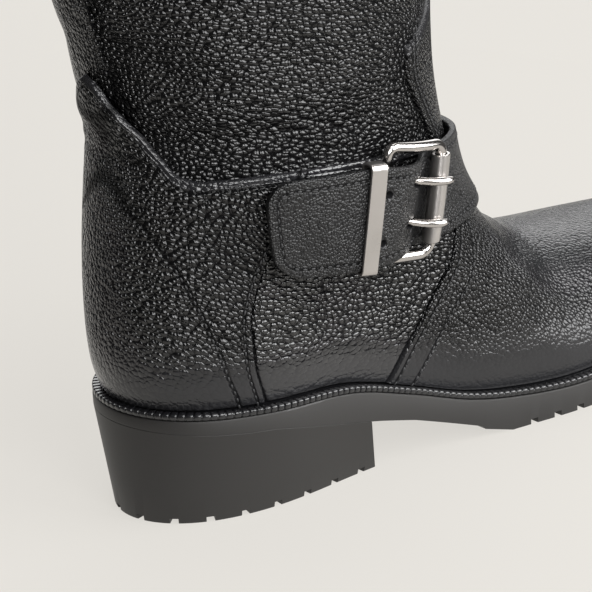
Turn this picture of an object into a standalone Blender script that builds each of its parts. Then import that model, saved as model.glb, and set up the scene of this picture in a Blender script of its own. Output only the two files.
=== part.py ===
"""A right biker boot: moulded sole, hollow upper, panels, ankle strap and roller buckle.

All tables and sizes are in millimetres. The boot points along +Y with its outer side at +X.
While it is drawn, y = 0 is the back of the sole edge and z = 0 is the floor.
"""

import math

import bmesh
import bpy
import numpy as np

MM = 0.001

# Driving dimensions
WELT_THICK = 2.4
WELT_LEDGE = 4.6
WELT_INSIDE = 6.0
PLATEAU_GAP = 1.0
GAP = 0.3
SEAM_GAP = 0.6
PANEL_GAP = 0.3
UPPER_WALL = 2.0
PANEL_THICK = 1.4
QUARTER_THICK = 1.0
INSOLE_THICK = 3.0
INSOLE_INSET = 6.0
ANKLE_HEIGHT = 135.0
BACK_ROUND = 31.0
TOE_ROUND = 29.0
TOE_SWING = -4.5
TUCK_SHARE = 0.055
TUCK_FADE = 5.0
INSTEP_CLOSE = 45.0
ARCH_FROM = 138.0
ARCH_TO = 178.0
BEND_LEVELS = 9.5
DIP_DEEP = 5.0
DIP_LEVEL = 5.6
DIP_SPREAD = 1.5
SOLE_BEVEL = 1.5

# Heel block
BREAST_TOP = 80.8
BREAST_BASE = 86.2
HEEL_BASE_SHARE = 0.825
HEEL_BASE_BACK = 2.9
HEEL_NOTCHES = 16
NOTCH_WIDE = 3.0
NOTCH_DEEP = 8.0
NOTCH_HIGH = 2.0

# Edge lugs of the forepart
LUG_FROM = 150.0
LUG_TO = 262.0
LUG_PITCH = 10.0
LUG_GROOVE = 3.0
LUG_LONG = 15.0
LUG_HIGH = 2.0

# Mesh density
RING_COLUMNS = 40
RING_COUNT = 21
SOLE_STATIONS = 30
HEEL_STATIONS = 17
STRAP_COLUMNS = 38
STRAP_ROWS = 5
ROD_SIDES = 8
ROLLER_SIDES = 16
CORNER_STEPS = 4
KEEPER_STATIONS = 5
CHAPE_STEPS = 8
SEAM_SAMPLES = 481

# Height of the sole's upper edge along the foot: y, z
SOLE_EDGE = np.array([
    (0, 39.7), (40, 37.2), (75, 32.9), (100, 24.6), (125, 15.7), (150, 11.2),
    (175, 9.8), (200, 11.0), (225, 14.6), (250, 20.0), (284, 29.0),
])

# Underside of the outsole, with the step at the front of the shank: y, z
SOLE_BOTTOM = np.array([
    (-1, 35.7), (40, 31.2), (85, 19.5), (100, 15.2), (125, 6.0), (128, 4.9), (129.5, 3.4), (141, 0.0),
    (190, 0.0), (205, 1.0), (225, 3.8), (250, 9.2), (284, 18.4),
])

# Side outline of the upper, a row for each level: back y, back z, front y, front z
PROFILE = np.array([
    (4.4, 42.0, 276.0, 29.3),
    (1.8, 50.0, 277.0, 36.0),
    (0.6, 60.0, 273.4, 40.0),
    (0.4, 69.0, 262.6, 44.2),
    (0.8, 80.0, 242.5, 46.6),
    (1.8, 91.0, 214.8, 49.4),
    (3.3, 102.0, 186.3, 53.9),
    (5.2, 113.0, 164.8, 63.9),
    (7.2, 124.0, 146.9, 85.4),
    (7.0, 136.0, 135.6, 117.6),
    (4.2, 152.0, 131.0, 150.0),
    (-1.6, 178.0, 132.2, 181.0),
    (-7.0, 256.0, 135.0, 262.0),
])
COLLAR_LEVEL = len(PROFILE) - 1.0

# Plan of the last at the sole: y, half width, centre line x
PLAN = np.array([
    (40, 33.9, 0.0), (75, 31.9, 1.0), (107, 30.2, 2.6), (140, 36.4, 0.6),
    (176, 43.5, -1.6), (210, 41.6, -2.5), (242, 31.8, -3.4),
])

# Half width of the shaft's oval: z, half width
SHAFT = np.array([(40, 42.5), (90, 44.5), (120, 45.8), (135, 47.0), (150, 49.5), (180, 52.0), (262, 55.0)])

# Cross sections of the forefoot: y, crown exponent, side exponent
SECTION = np.array([(140, 1.5, 1.9), (165, 1.7, 2.0), (190, 2.1, 2.1), (225, 2.5, 2.3), (278, 2.6, 2.4)])

# Front edge of the counter and rear edge of the vamp with its tongue: z, y
COUNTER_EDGE = np.array([
    (40, 39.0), (52, 35.1), (64, 33.8), (72, 33.8), (83, 37.3), (100, 45.0), (125, 56.0),
])
VAMP_EDGE = np.array([
    (10, 78.0), (32, 93.5), (41, 99.5), (52, 107.4), (63, 115.2), (73, 122.0), (83, 124.0),
    (97, 121.0), (113, 114.0), (126, 105.4), (140, 97.5), (150, 96.0), (175, 96.0),
])

# Top edge of counter and quarters: turn from the back in degrees, z
TOPLINE = np.array([
    (0, 155.5), (5, 152.5), (10, 146.0), (15, 139.5), (20, 133.5), (25, 127.8), (29, 123.0), (33, 121.0),
    (45, 120.2), (60, 120.0), (92, 117.2), (110, 114.5), (125, 112.0), (180, 108.0),
])
# Top edge of the tongue: turn from the back in degrees, z
TONGUE_TOP = np.array([(100, 148.0), (115, 150.0), (125, 153.0), (140, 158.0), (160, 164.0), (180, 167.0)])
BACK_STRIP_START = 0.05
# Lift of the counter's back tab: distance, first level, levels to full lift, half span of turn
TAB_LIFT = 2.6
TAB_LEVEL = 8.5
TAB_RISE = 0.9
TAB_TURN = 0.55

# Strap: turns in degrees from the back, round the outer side and the front to the inner side
STRAP_HALF = 17.1
STRAP_THICK = 2.4
STRAP_TIP_TURN = 61.5
STRAP_END_TURN = 278.0
STRAP_CORNER = 9.0
STRAP_SKEW = 1.9
PINCH = 0.9
PINCH_TURN = 108.0
PINCH_SPAN = 14.0
STRAP_TIP_STEPS = np.array([0.0, 0.6, 1.8])
FRONT_TILT = 0.18
FRONT_SPAN = 75.0
FRONT_FLARE = 0.7
# Centre line of the strap: turn, z
STRAP_LINE = np.array([
    (58, 101.8), (75, 101.0), (88, 100.6), (100, 99.3), (113, 97.4), (140, 95.6), (180, 93.4),
    (220, 95.4), (250, 97.5), (278, 99.5),
])
# Distance of the strap's inner face from the upper, on the outer side: along the buckle, distance
STRAP_RISE = np.array([
    (-60, 3.1), (-45, 3.6), (-34, 5.4), (-26, 7.0), (-18, 8.2), (-13, 9.2), (-9, 9.4), (-5, 8.8),
    (-1, 7.6), (2, 6.0), (5, 4.0), (8, 3.2), (12, 3.0), (25, 2.9), (50, 2.8), (70, 2.8),
])
# How far the strap's lower edge stands out there, and its upper edge in: along the buckle, distance
STRAP_TILT = np.array([(-45, 0.0), (-30, 1.2), (-20, 2.0), (-12, 0.9), (-4, 0.2), (2, 0.0), (70, 0.0)])
# The same on the inner side: turn, distance
STRAP_FALL = np.array([(180, 2.8), (210, 2.8), (240, 2.2), (260, 1.7), (278, 1.7)])

# Buckle on the outer side: u runs forwards along it, w up across it and d out from the upper
BUCKLE_Y = 92.5
BUCKLE_Z = 99.0
BUCKLE_LEAN = math.radians(7)
ROD_RADIUS = 1.8
BAR_U = -12.0
BAR_D = 4.6
ROLLER_U = 11.0
ROLLER_D = 9.0
# Corners of the frame's rod: u, w, bend radius
FRAME_CORNERS = ((ROLLER_U, 18.3, 4.0), (BAR_U, 20.3, 2.4), (BAR_U, -18.8, 2.4), (ROLLER_U, -18.5, 4.0))
ROLLER_RADIUS = 3.0
ROLLER_HALF = 14.5
HOOK_RADIUS = 0.8
PRONG_UP = 8.0
PRONG_DOWN = -5.9
PRONG_LEAN = 0.14
# Middle line of a prong after its hook over the bar: u, d, radius
PRONG_PATH = np.array([
    (-9.0, 6.8, 0.9), (-6.5, 6.2, 1.0), (-4.0, 5.8, 1.1), (-2.0, 6.1, 1.2), (0.0, 7.3, 1.3), (3.0, 9.7, 1.3),
    (6.5, 12.1, 1.3), (9.5, 13.5, 1.3), (11.2, 13.8, 1.1),
])
SLOT_FROM = -4.2
SLOT_TO = 3.6
SLOT_HALF = 1.9
KEEPER_Y = 73.0
KEEPER_Z = 100.5
KEEPER_HALF = 2.9
KEEPER_REACH = 18.5
KEEPER_LOW = 6.4
KEEPER_HIGH = 11.8
KEEPER_THICK = 0.9
KEEPER_SLOPE = 0.15
KEEPER_TILT = 0.117
HOLE_U = 4.8
HOLE_W = 8.1
HOLE_HALF = 1.3
# Distances from the upper between which the holes of the strap are cut
HOLE_REACH = (1.0, 15.0)
CHAPE_HALF = 2.6
CHAPE_THICK = 0.8
CHAPE_BACK = -42.0
CHAPE_LAP = -14.6


def smooth(knots, values, at):
    """Cubic curve through the values at the knots, with slopes from the neighbours."""
    slopes = np.gradient(values, knots)
    at = np.clip(at, knots[0], knots[-1])
    i = np.clip(np.searchsorted(knots, at) - 1, 0, len(knots) - 2)
    step = knots[i + 1] - knots[i]
    t = (at - knots[i]) / step
    first, last = values[i], values[i + 1]
    rise, fall = slopes[i] * step, slopes[i + 1] * step
    square = 3 * (last - first) - 2 * rise - fall
    cube = 2 * (first - last) + rise + fall
    return first + t * (rise + t * (square + t * cube))


def ease(t):
    """Soft step from 0 to 1."""
    t = np.clip(t, 0.0, 1.0)
    return t * t * (3 - 2 * t)


def oval(share):
    """Half width of a unit oval at a share of its length."""
    return 2 * np.sqrt(np.clip(share * (1 - share), 0.0, 1.0))


def sole_edge(y):
    return smooth(SOLE_EDGE[:, 0], SOLE_EDGE[:, 1], y)


def feather(y):
    """Height of the welt's top, where the upper stands."""
    return sole_edge(y) + WELT_THICK


def sole_bottom(y):
    return np.interp(y, SOLE_BOTTOM[:, 0], SOLE_BOTTOM[:, 1])


PROFILE[0, 1] = feather(PROFILE[0, 0])
PROFILE[0, 3] = feather(PROFILE[0, 2])
FOOT_BACK = PROFILE[0, 0]
FOOT_FRONT = PROFILE[0, 2]
TIP_HEIGHT = PROFILE[1, 3]
LEVELS = np.arange(len(PROFILE), dtype=float)


def back_line(z):
    return smooth(PROFILE[:, 1], PROFILE[:, 0], z)


def front_line(z):
    return smooth(PROFILE[:, 3], PROFILE[:, 2], z)


RIDGE_Z = np.linspace(TIP_HEIGHT, PROFILE[-1, 3], 2000)
RIDGE_Y = front_line(RIDGE_Z)


def ridge(y):
    """Height of the top line from the toe tip up to the shaft."""
    return np.interp(y, RIDGE_Y[::-1], RIDGE_Z[::-1])


def plan_width(y, back, front):
    """Half width of the last's plan between its back and its toe."""
    span = FOOT_FRONT - FOOT_BACK
    shares = (PLAN[:, 0] - FOOT_BACK) / span
    fullness = PLAN[:, 1] / oval(shares)
    ends = np.sqrt(np.array([BACK_ROUND, TOE_ROUND]) * span / 2)
    knots = np.concatenate([[0.0], shares, [1.0]])
    values = np.concatenate([ends[:1], fullness, ends[1:]])
    share = np.clip((y - back) / (front - back), 0.0, 1.0)
    return oval(share) * smooth(knots, values, share)


def swing(y):
    """Sideways curve of the last's centre line."""
    knots = np.concatenate([[0.0], PLAN[:, 0], [FOOT_FRONT]])
    values = np.concatenate([[0.0], PLAN[:, 2], [TOE_SWING]])
    return smooth(knots, values, y)


def half_width(y, z):
    """Half width of the upper: level ovals at heel and shaft, upright arches over the forefoot."""
    back, front = back_line(z), front_line(z)
    low = plan_width(y, back, front_line(np.minimum(z, TIP_HEIGHT)))
    near = np.clip((y - front + INSTEP_CLOSE) / INSTEP_CLOSE, 0.0, 1.0)
    height = z - feather(y)
    rise = ease(height / (ANKLE_HEIGHT - feather(y)))
    shaft = smooth(SHAFT[:, 0], SHAFT[:, 1], z) * oval(np.clip((y - back) / (front - back), 0.0, 1.0))
    level_oval = (1 - rise) * low * np.sqrt(1 - near * near) + rise * shaft
    crown = np.clip(height / np.maximum(ridge(y) - feather(y), 1e-6), 0.0, 1.0)
    crown_power = smooth(SECTION[:, 0], SECTION[:, 1], y)
    side_power = smooth(SECTION[:, 0], SECTION[:, 2], y)
    arch = low * np.power(np.clip(1 - np.power(crown, crown_power), 0.0, 1.0), 1 / side_power)
    share = ease((y - ARCH_FROM) / (ARCH_TO - ARCH_FROM))
    tuck = 1 - TUCK_SHARE * np.exp(-height / TUCK_FADE)
    return ((1 - share) * level_oval + share * arch) * tuck


def side_path(turn, level):
    """Side view place (y, z) on a ring of the upper; turn is 0 at the back and pi at the front."""
    share = (1 - np.cos(turn)) / 2
    back_z = smooth(LEVELS, PROFILE[:, 1], level)
    front_z = smooth(LEVELS, PROFILE[:, 3], level)
    back_y, front_y = back_line(back_z), front_line(front_z)
    y = back_y + (front_y - back_y) * share
    bend = feather(y) - feather(back_y) - (feather(front_y) - feather(back_y)) * share
    forward = 27 / 4 * share * share * (1 - share)
    dip = DIP_DEEP * np.exp(-((level - DIP_LEVEL) / DIP_SPREAD) ** 2) * forward
    return y, back_z + (front_z - back_z) * share + (1 - ease(level / BEND_LEVELS)) * bend - dip


def surface_at(turn, y, z):
    """Point on the upper's outside at a side view place; turns from 0 to pi are on the outer side."""
    middle = swing(y) * (1 - ease((z - feather(y)) / (ANKLE_HEIGHT - feather(y))))
    x = middle + np.sign(np.sin(turn)) * half_width(y, z)
    return np.stack([x, y, z], axis=-1)


def upper_point(turn, level):
    """Point on a ring of the upper."""
    return surface_at(turn, *side_path(turn, level))


def section_point(turn, z):
    """Point on a level section of the upper."""
    back, front = back_line(z), front_line(z)
    return surface_at(turn, back + (front - back) * (1 - np.cos(turn)) / 2, z)


def outer_point(y, z):
    """Point on the outer side of the upper."""
    return surface_at(math.pi / 2, y, z)


def pushed(surface, a, b, distance):
    """Point of a surface function of two values, moved out along the normal."""
    small = 0.01
    along = surface(a + small, b) - surface(a - small, b)
    across = surface(a, b + small) - surface(a, b - small)
    normal = np.cross(along, across)
    normal = normal / np.linalg.norm(normal, axis=-1, keepdims=True)
    return surface(a, b) + normal * np.asarray(distance)[..., None]


# Materials and mesh helpers

def material(name, colour, roughness, metallic=0.0):
    made = bpy.data.materials.new(name)
    made.use_nodes = True
    shader = made.node_tree.nodes["Principled BSDF"]
    shader.inputs["Base Color"].default_value = (*colour, 1.0)
    shader.inputs["Roughness"].default_value = roughness
    shader.inputs["Metallic"].default_value = metallic
    return made


def add_object(name, points, faces, finish):
    """Closed mesh object from points in millimetres."""
    mesh = bpy.data.meshes.new(name)
    mesh.from_pydata([tuple(p) for p in np.asarray(points) * MM], [], faces)
    build = bmesh.new()
    build.from_mesh(mesh)
    bmesh.ops.remove_doubles(build, verts=build.verts, dist=2e-6)
    bmesh.ops.dissolve_degenerate(build, edges=build.edges, dist=1e-6)
    bmesh.ops.recalc_face_normals(build, faces=build.faces)
    build.to_mesh(mesh)
    build.free()
    mesh.materials.append(finish)
    mesh.shade_smooth()
    mesh.set_sharp_from_angle(angle=math.radians(35))
    made = bpy.data.objects.new(name, mesh)
    bpy.context.scene.collection.objects.link(made)
    return made


def grid_faces(rows, columns, start, closed):
    """Triangles of a point grid whose first point has index start; closed grids are cut as mirror halves."""
    faces = []
    for i in range(rows - 1):
        low, high = start + i * columns, start + (i + 1) * columns
        for j in range(columns if closed else columns - 1):
            near, far = j, (j + 1) % columns
            if closed and j >= columns // 2:
                near, far = far, near
            faces += [(low + near, low + far, high + far), (low + near, high + far, high + near)]
    return faces


def sheet_object(name, outside, inside, finish, closed=False):
    """Solid between two point grids of the same size."""
    rows, columns = outside.shape[:2]
    count = rows * columns
    points = np.concatenate([outside.reshape(-1, 3), inside.reshape(-1, 3)])
    faces = grid_faces(rows, columns, 0, closed) + grid_faces(rows, columns, count, closed)
    edges = [[i * columns + j for j in range(columns)] for i in (0, rows - 1)]
    if closed:
        edges = [edge + edge[:1] for edge in edges]
    else:
        edges += [[i * columns + j for i in range(rows)] for j in (0, columns - 1)]
    for edge in edges:
        for a, b in zip(edge, edge[1:]):
            faces.append((a, b, count + b, count + a))
    return add_object(name, points, faces, finish)


def outline(shares, grow, squeeze=1.0):
    """Pairs of plan points, outer side then inner side; growth moves y only near the two ends."""
    start, end = FOOT_BACK - grow, FOOT_FRONT + grow
    y = FOOT_BACK + (FOOT_FRONT - FOOT_BACK) * shares + grow * (2 * shares - 1) ** 5
    wide = (plan_width(y, start, end) + grow * oval((y - start) / (end - start))) * squeeze
    return y, swing(y) + wide, swing(y) - wide


def loop(shares, grow, height):
    """Closed plan loop at the height given for each y."""
    y, outer, inner = outline(shares, grow)
    z = height(y)
    near = np.stack([outer, y, z], axis=-1)
    far = np.stack([inner, y, z], axis=-1)
    return np.concatenate([near, far[::-1]])


def stack_object(name, loops, finish, ring=False):
    """Solid through loops of paired points, closed by caps or round into a ring."""
    size = len(loops[0])
    half = size // 2
    points = np.concatenate(loops)
    faces = grid_faces(len(loops), size, 0, True)
    if ring:
        last = (len(loops) - 1) * size
        faces += [(last + j, last + (j + 1) % size, (j + 1) % size, j) for j in range(size)]
    else:
        for start in (0, (len(loops) - 1) * size):
            for j in range(half - 1):
                faces.append((start + j, start + j + 1, start + size - 2 - j, start + size - 1 - j))
    return add_object(name, points, faces, finish)


def box_points(centre, along, half_long, half_wide, low, high):
    """Eight corners of an upright box whose length runs along a plan direction."""
    across = np.array([-along[1], along[0]])
    corners = []
    for z in (low, high):
        for a, b in ((-1, -1), (1, -1), (1, 1), (-1, 1)):
            x, y = centre + along * a * half_long + across * b * half_wide
            corners.append((x, y, z))
    return corners


BOX_FACES = [(0, 3, 2, 1), (4, 5, 6, 7), (0, 1, 5, 4), (1, 2, 6, 5), (2, 3, 7, 6), (3, 0, 4, 7)]


def cut_boxes(target, name, boxes, finish):
    """Cut a set of separate boxes out of an object."""
    points = [corner for box in boxes for corner in box]
    faces = [tuple(8 * i + k for k in face) for i in range(len(boxes)) for face in BOX_FACES]
    cutter = add_object(name, points, faces, finish)
    cutter.hide_render = True
    cutter.display_type = "WIRE"
    cut = target.modifiers.new("notches", "BOOLEAN")
    cut.operation = "DIFFERENCE"
    cut.object = cutter


# Sole

def sole_shares():
    """Stations along the sole, close at both ends, with the steps of the underside among them."""
    even = (1 - np.cos(np.linspace(0, math.pi, SOLE_STATIONS))) / 2
    steps = (SOLE_BOTTOM[2:9, 0] - FOOT_BACK) / (FOOT_FRONT - FOOT_BACK)
    kept = [s for s in even if np.min(np.abs(steps - s)) > 0.01]
    return np.sort(np.concatenate([kept, steps]))


def make_outsole(finish):
    shares = sole_shares()
    loops = [
        loop(shares, WELT_LEDGE - SOLE_BEVEL, sole_bottom),
        loop(shares, WELT_LEDGE, lambda y: sole_bottom(y) + SOLE_BEVEL),
        loop(shares, WELT_LEDGE, sole_edge),
        loop(shares, -WELT_INSIDE - PLATEAU_GAP, sole_edge),
        loop(shares, -WELT_INSIDE - PLATEAU_GAP, feather),
    ]
    outsole = stack_object("outsole", loops, finish)
    boxes = []
    for y in np.arange(LUG_FROM, LUG_TO, LUG_PITCH):
        share = (y - FOOT_BACK) / (FOOT_FRONT - FOOT_BACK)
        _, outer, inner = outline(np.array([share]), WELT_LEDGE)
        top = sole_bottom(y) + LUG_HIGH
        for x in (outer[0], inner[0]):
            middle, inward = np.array([x, y]), np.array([1.0, 0.0])
            boxes.append(box_points(middle, inward, LUG_LONG, LUG_GROOVE / 2, -LUG_HIGH, top))
    cut_boxes(outsole, "lug_grooves", boxes, finish)


def heel_side(shares, fraction):
    """Plan pairs of the heel at a fraction of its height, from the back to the breast."""
    squeeze = HEEL_BASE_SHARE + (1 - HEEL_BASE_SHARE) * fraction
    back = HEEL_BASE_BACK + (FOOT_BACK - WELT_LEDGE - HEEL_BASE_BACK) * fraction
    full_back = FOOT_BACK - WELT_LEDGE
    breast = BREAST_BASE + (BREAST_TOP - BREAST_BASE) * fraction
    y, outer, inner = outline(shares, WELT_LEDGE, squeeze)
    y = back + (y - full_back) * (breast - back) / (BREAST_TOP - full_back)
    return y, outer, inner


def make_heel(finish):
    last = (BREAST_TOP - FOOT_BACK) / (FOOT_FRONT - FOOT_BACK)
    shares = last * (1 - np.cos(np.linspace(0, math.pi / 2, HEEL_STATIONS)))
    loops = []
    for fraction in (0.0, 0.5, 1.0):
        y, outer, inner = heel_side(shares, fraction)
        z = (sole_bottom(y) - GAP) * fraction
        near = np.stack([outer, y, z], axis=-1)
        far = np.stack([inner, y, z], axis=-1)
        loops.append(np.concatenate([near, far[::-1]]))
    heel = stack_object("heel", loops, finish)
    rim = loops[0]
    half = len(rim) // 2
    path = np.concatenate([rim[half - 1::-1], rim[:half - 1:-1]])[:, :2]
    lengths = np.concatenate([[0.0], np.cumsum(np.linalg.norm(np.diff(path, axis=0), axis=1))])
    boxes = []
    for i in range(HEEL_NOTCHES):
        at = lengths[-1] * (i + 0.5) / HEEL_NOTCHES
        centre = np.array([np.interp(at, lengths, path[:, k]) for k in range(2)])
        ahead = np.array([np.interp(at + 1.0, lengths, path[:, k]) for k in range(2)]) - centre
        inward = np.array([-ahead[1], ahead[0]]) / np.linalg.norm(ahead)
        boxes.append(box_points(centre, inward, NOTCH_DEEP, NOTCH_WIDE / 2, -NOTCH_HIGH, NOTCH_HIGH))
    cut_boxes(heel, "heel_notches", boxes, finish)


def make_welt(finish):
    shares = sole_shares()
    loops = [
        loop(shares, WELT_LEDGE - GAP, lambda y: sole_edge(y) + GAP),
        loop(shares, WELT_LEDGE - GAP, feather),
        loop(shares, -WELT_INSIDE, feather),
        loop(shares, -WELT_INSIDE, lambda y: sole_edge(y) + GAP),
    ]
    stack_object("welt", loops, finish, ring=True)


def make_insole(finish):
    shares = sole_shares()
    loops = [
        loop(shares, -INSOLE_INSET, lambda y: feather(y) + GAP),
        loop(shares, -INSOLE_INSET, lambda y: feather(y) + GAP + INSOLE_THICK),
    ]
    stack_object("insole", loops, finish)


# Upper and its panels

COLUMN_TURNS = np.arange(RING_COLUMNS) * 2 * math.pi / RING_COLUMNS
RING_LEVELS = np.linspace(0.0, COLLAR_LEVEL, RING_COUNT)


def make_upper(finish):
    turn, level = np.meshgrid(COLUMN_TURNS, RING_LEVELS)
    outside = upper_point(turn, level)
    inside = pushed(upper_point, turn, level, np.full_like(turn, -UPPER_WALL))
    stand = feather(outside[0, :, 1]) + GAP
    outside[0, :, 2] = stand
    inside[0, :, 2] = stand
    sheet_object("upper", outside, inside, finish, closed=True)


def edge_turn(edge, shift):
    """Turn at which each ring crosses a seam given as y at each z, moved along y by shift."""
    levels = np.linspace(0.0, COLLAR_LEVEL, SEAM_SAMPLES)
    turns = np.linspace(0.0, math.pi, SEAM_SAMPLES)
    crossing = []
    for level in levels:
        y, z = side_path(turns, level)
        behind = smooth(edge[:, 0], edge[:, 1], z) + shift - y
        crossing.append(np.interp(0.0, -behind, turns))
    return lambda level: np.interp(level, levels, crossing)


def edge_level(edge):
    """Level at which a top edge, given as z at each turn in degrees, lies on the rings."""
    turns = np.linspace(0.0, math.pi, SEAM_SAMPLES)
    levels = np.linspace(0.0, COLLAR_LEVEL, SEAM_SAMPLES)
    found = []
    for turn in turns:
        _, z = side_path(turn, levels)
        found.append(np.interp(smooth(edge[:, 0], edge[:, 1], math.degrees(turn)), z, levels))
    return lambda turn: np.interp(turn, turns, found)


def on_rings(distance, turn, level):
    """Points on the flat facets between the upper's rings and columns, at a distance from them."""
    columns, rings = np.meshgrid(COLUMN_TURNS, RING_LEVELS)
    grid = pushed(upper_point, columns, rings, np.full_like(columns, distance))
    i = np.clip((level / RING_LEVELS[1]).astype(int), 0, RING_COUNT - 2)
    u = (level / RING_LEVELS[1] - i)[..., None]
    place = turn / COLUMN_TURNS[1]
    j = np.floor(place).astype(int)
    v = (place - j)[..., None]
    inner = j % RING_COLUMNS >= RING_COLUMNS // 2
    near, far = (j + inner) % RING_COLUMNS, (j + 1 - inner) % RING_COLUMNS
    v = np.where(inner[..., None], 1 - v, v)
    start, end = grid[i, near], grid[i + 1, far]
    below = start + v * (grid[i, far] - start) + u * (end - grid[i, far])
    above = start + u * (grid[i + 1, near] - start) + v * (end - grid[i + 1, near])
    return np.where(u <= v, below, above)


def clip_cell(corners, inside):
    """Part of a cell, given by its corners as (turn, level), where the function is not negative."""
    kept = []
    for a, b in zip(corners, corners[1:] + corners[:1]):
        at_a, at_b = inside(*a), inside(*b)
        if at_a >= 0:
            kept.append(a)
        if (at_a >= 0) != (at_b >= 0):
            (start, end), (f, g) = ((a, b), (at_a, at_b)) if a < b else ((b, a), (at_b, at_a))
            share = f / (f - g)
            kept.append((start[0] + (end[0] - start[0]) * share, start[1] + (end[1] - start[1]) * share))
    return kept


def tab_lift(turn, level):
    """Extra distance of the counter's raised back tab."""
    return TAB_LIFT * ease((level - TAB_LEVEL) / TAB_RISE) * ease(1 - np.abs(turn) / TAB_TURN)


def make_panel(name, turns, limits, thick, finish, lift=lambda turn, level: 0.0 * turn):
    """Panel cut from the upper's own cells by its limits, between two distances from the upper."""
    index, faces = {}, []
    for low, high in zip(RING_LEVELS, RING_LEVELS[1:]):
        for left, right in zip(turns, turns[1:]):
            near, far = (left, right) if math.sin((left + right) / 2) > 0 else (right, left)
            for corner in ((far, low), (near, high)):
                cell = [(near, low), corner, (far, high)]
                for limit in limits:
                    cell = clip_cell(cell, limit)
                keys = [(round(turn, 5), round(level, 5)) for turn, level in cell]
                keys = [key for key, before in zip(keys, keys[-1:] + keys[:-1]) if key != before]
                if (corner == (near, high)) != (near == right):
                    keys.reverse()
                if len(keys) > 2:
                    faces.append([index.setdefault(key, len(index)) for key in keys])
    place = np.array(list(index))
    count = len(place)
    inside = on_rings(PANEL_GAP, place[:, 0], place[:, 1])
    outside = on_rings(PANEL_GAP + thick, place[:, 0], place[:, 1])
    raised = (lift(place[:, 0], place[:, 1]) / thick)[:, None] * (outside - inside)
    inside, outside = inside + raised, outside + raised
    for side in (inside, outside):
        side[:, 2] = np.where(place[:, 1] == 0, feather(side[:, 1]) + GAP, side[:, 2])
    edges = {(a, b) for face in faces for a, b in zip(face, face[1:] + face[:1])}
    walls = [(b, a, count + a, count + b) for a, b in edges if (b, a) not in edges]
    backs = [[count + k for k in reversed(face)] for face in faces]
    add_object(name, np.concatenate([outside, inside]), faces + backs + sorted(walls), finish)


def make_panels(finish):
    step = COLUMN_TURNS[1]
    counter_edge = edge_turn(COUNTER_EDGE, 0.0)
    quarter_rear = edge_turn(COUNTER_EDGE, SEAM_GAP)
    quarter_front = edge_turn(VAMP_EDGE, -SEAM_GAP)
    vamp_edge = edge_turn(VAMP_EDGE, 0.0)
    topline = edge_level(TOPLINE)
    tongue_top = edge_level(TONGUE_TOP)
    half = RING_COLUMNS // 2
    around_back = np.arange(-half, half + 1) * step
    around_front = np.arange(RING_COLUMNS + 1) * step
    full = 2 * math.pi
    make_panel("counter", around_back, [
        lambda turn, level: turn + counter_edge(level),
        lambda turn, level: counter_edge(level) - turn,
        lambda turn, level: topline(abs(turn)) - level,
    ], PANEL_THICK, finish, tab_lift)
    make_panel("quarter_outer", around_front[:half + 1], [
        lambda turn, level: turn - quarter_rear(level),
        lambda turn, level: quarter_front(level) - turn,
        lambda turn, level: topline(turn) - level,
    ], QUARTER_THICK, finish)
    make_panel("quarter_inner", around_front[half:], [
        lambda turn, level: turn - full + quarter_front(level),
        lambda turn, level: full - quarter_rear(level) - turn,
        lambda turn, level: topline(full - turn) - level,
    ], QUARTER_THICK, finish)
    make_panel("vamp", around_front, [
        lambda turn, level: turn - vamp_edge(level),
        lambda turn, level: full - vamp_edge(level) - turn,
        lambda turn, level: tongue_top(min(turn, full - turn)) - level,
    ], PANEL_THICK, finish)
    make_panel("back_strip", [-step, 0.0, step], [
        lambda turn, level: level - topline(abs(turn)) - BACK_STRIP_START,
    ], QUARTER_THICK, finish)


# Strap and buckle

def side_points(local, y, z):
    """Points on the outer side from u, w and d in the buckle's leaning frame, with its middle at y, z."""
    u, w, d = np.moveaxis(np.asarray(local, dtype=float), -1, 0)
    cosine, sine = math.cos(BUCKLE_LEAN), math.sin(BUCKLE_LEAN)
    return pushed(outer_point, y + u * cosine + w * sine, z - u * sine + w * cosine, d)


def buckle_points(local):
    return side_points(local, BUCKLE_Y, BUCKLE_Z)


def keeper_points(local):
    return side_points(local, KEEPER_Y, KEEPER_Z)


def strap_points(turn, across, lift):
    """Points of the strap; turn in degrees, across from -1 to 1, lift above the inner face."""
    front = ease(1 - np.abs(turn - 180) / FRONT_SPAN)
    half = STRAP_HALF * (1 - FRONT_TILT * front) - PINCH * ease(1 - np.abs(turn - PINCH_TURN) / PINCH_SPAN)
    z = smooth(STRAP_LINE[:, 0], STRAP_LINE[:, 1], turn) + across * half
    skew = STRAP_SKEW * across * ease((90 - turn) / (90 - STRAP_TIP_TURN))
    around = np.radians(turn - skew)
    place = section_point(around, z)
    along = (place[..., 1] - BUCKLE_Y) * math.cos(BUCKLE_LEAN) - (z - BUCKLE_Z) * math.sin(BUCKLE_LEAN)
    outer = smooth(STRAP_RISE[:, 0], STRAP_RISE[:, 1], along)
    inner = smooth(STRAP_FALL[:, 0], STRAP_FALL[:, 1], turn)
    tilt = smooth(STRAP_TILT[:, 0], STRAP_TILT[:, 1], along) * across
    flare = FRONT_FLARE * front * across
    return pushed(section_point, around, z, np.where(turn < 180, outer - tilt, inner) + flare + lift)


def hole_box(points, middle_w, low, high, half, lean=0.0):
    """Corners of a box through the strap, given in a leaning frame."""
    around = ((low, -half), (high, -half), (high, half), (low, half))
    return points([(u, middle_w + w - lean * u, d) for d in HOLE_REACH for u, w in around])


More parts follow.
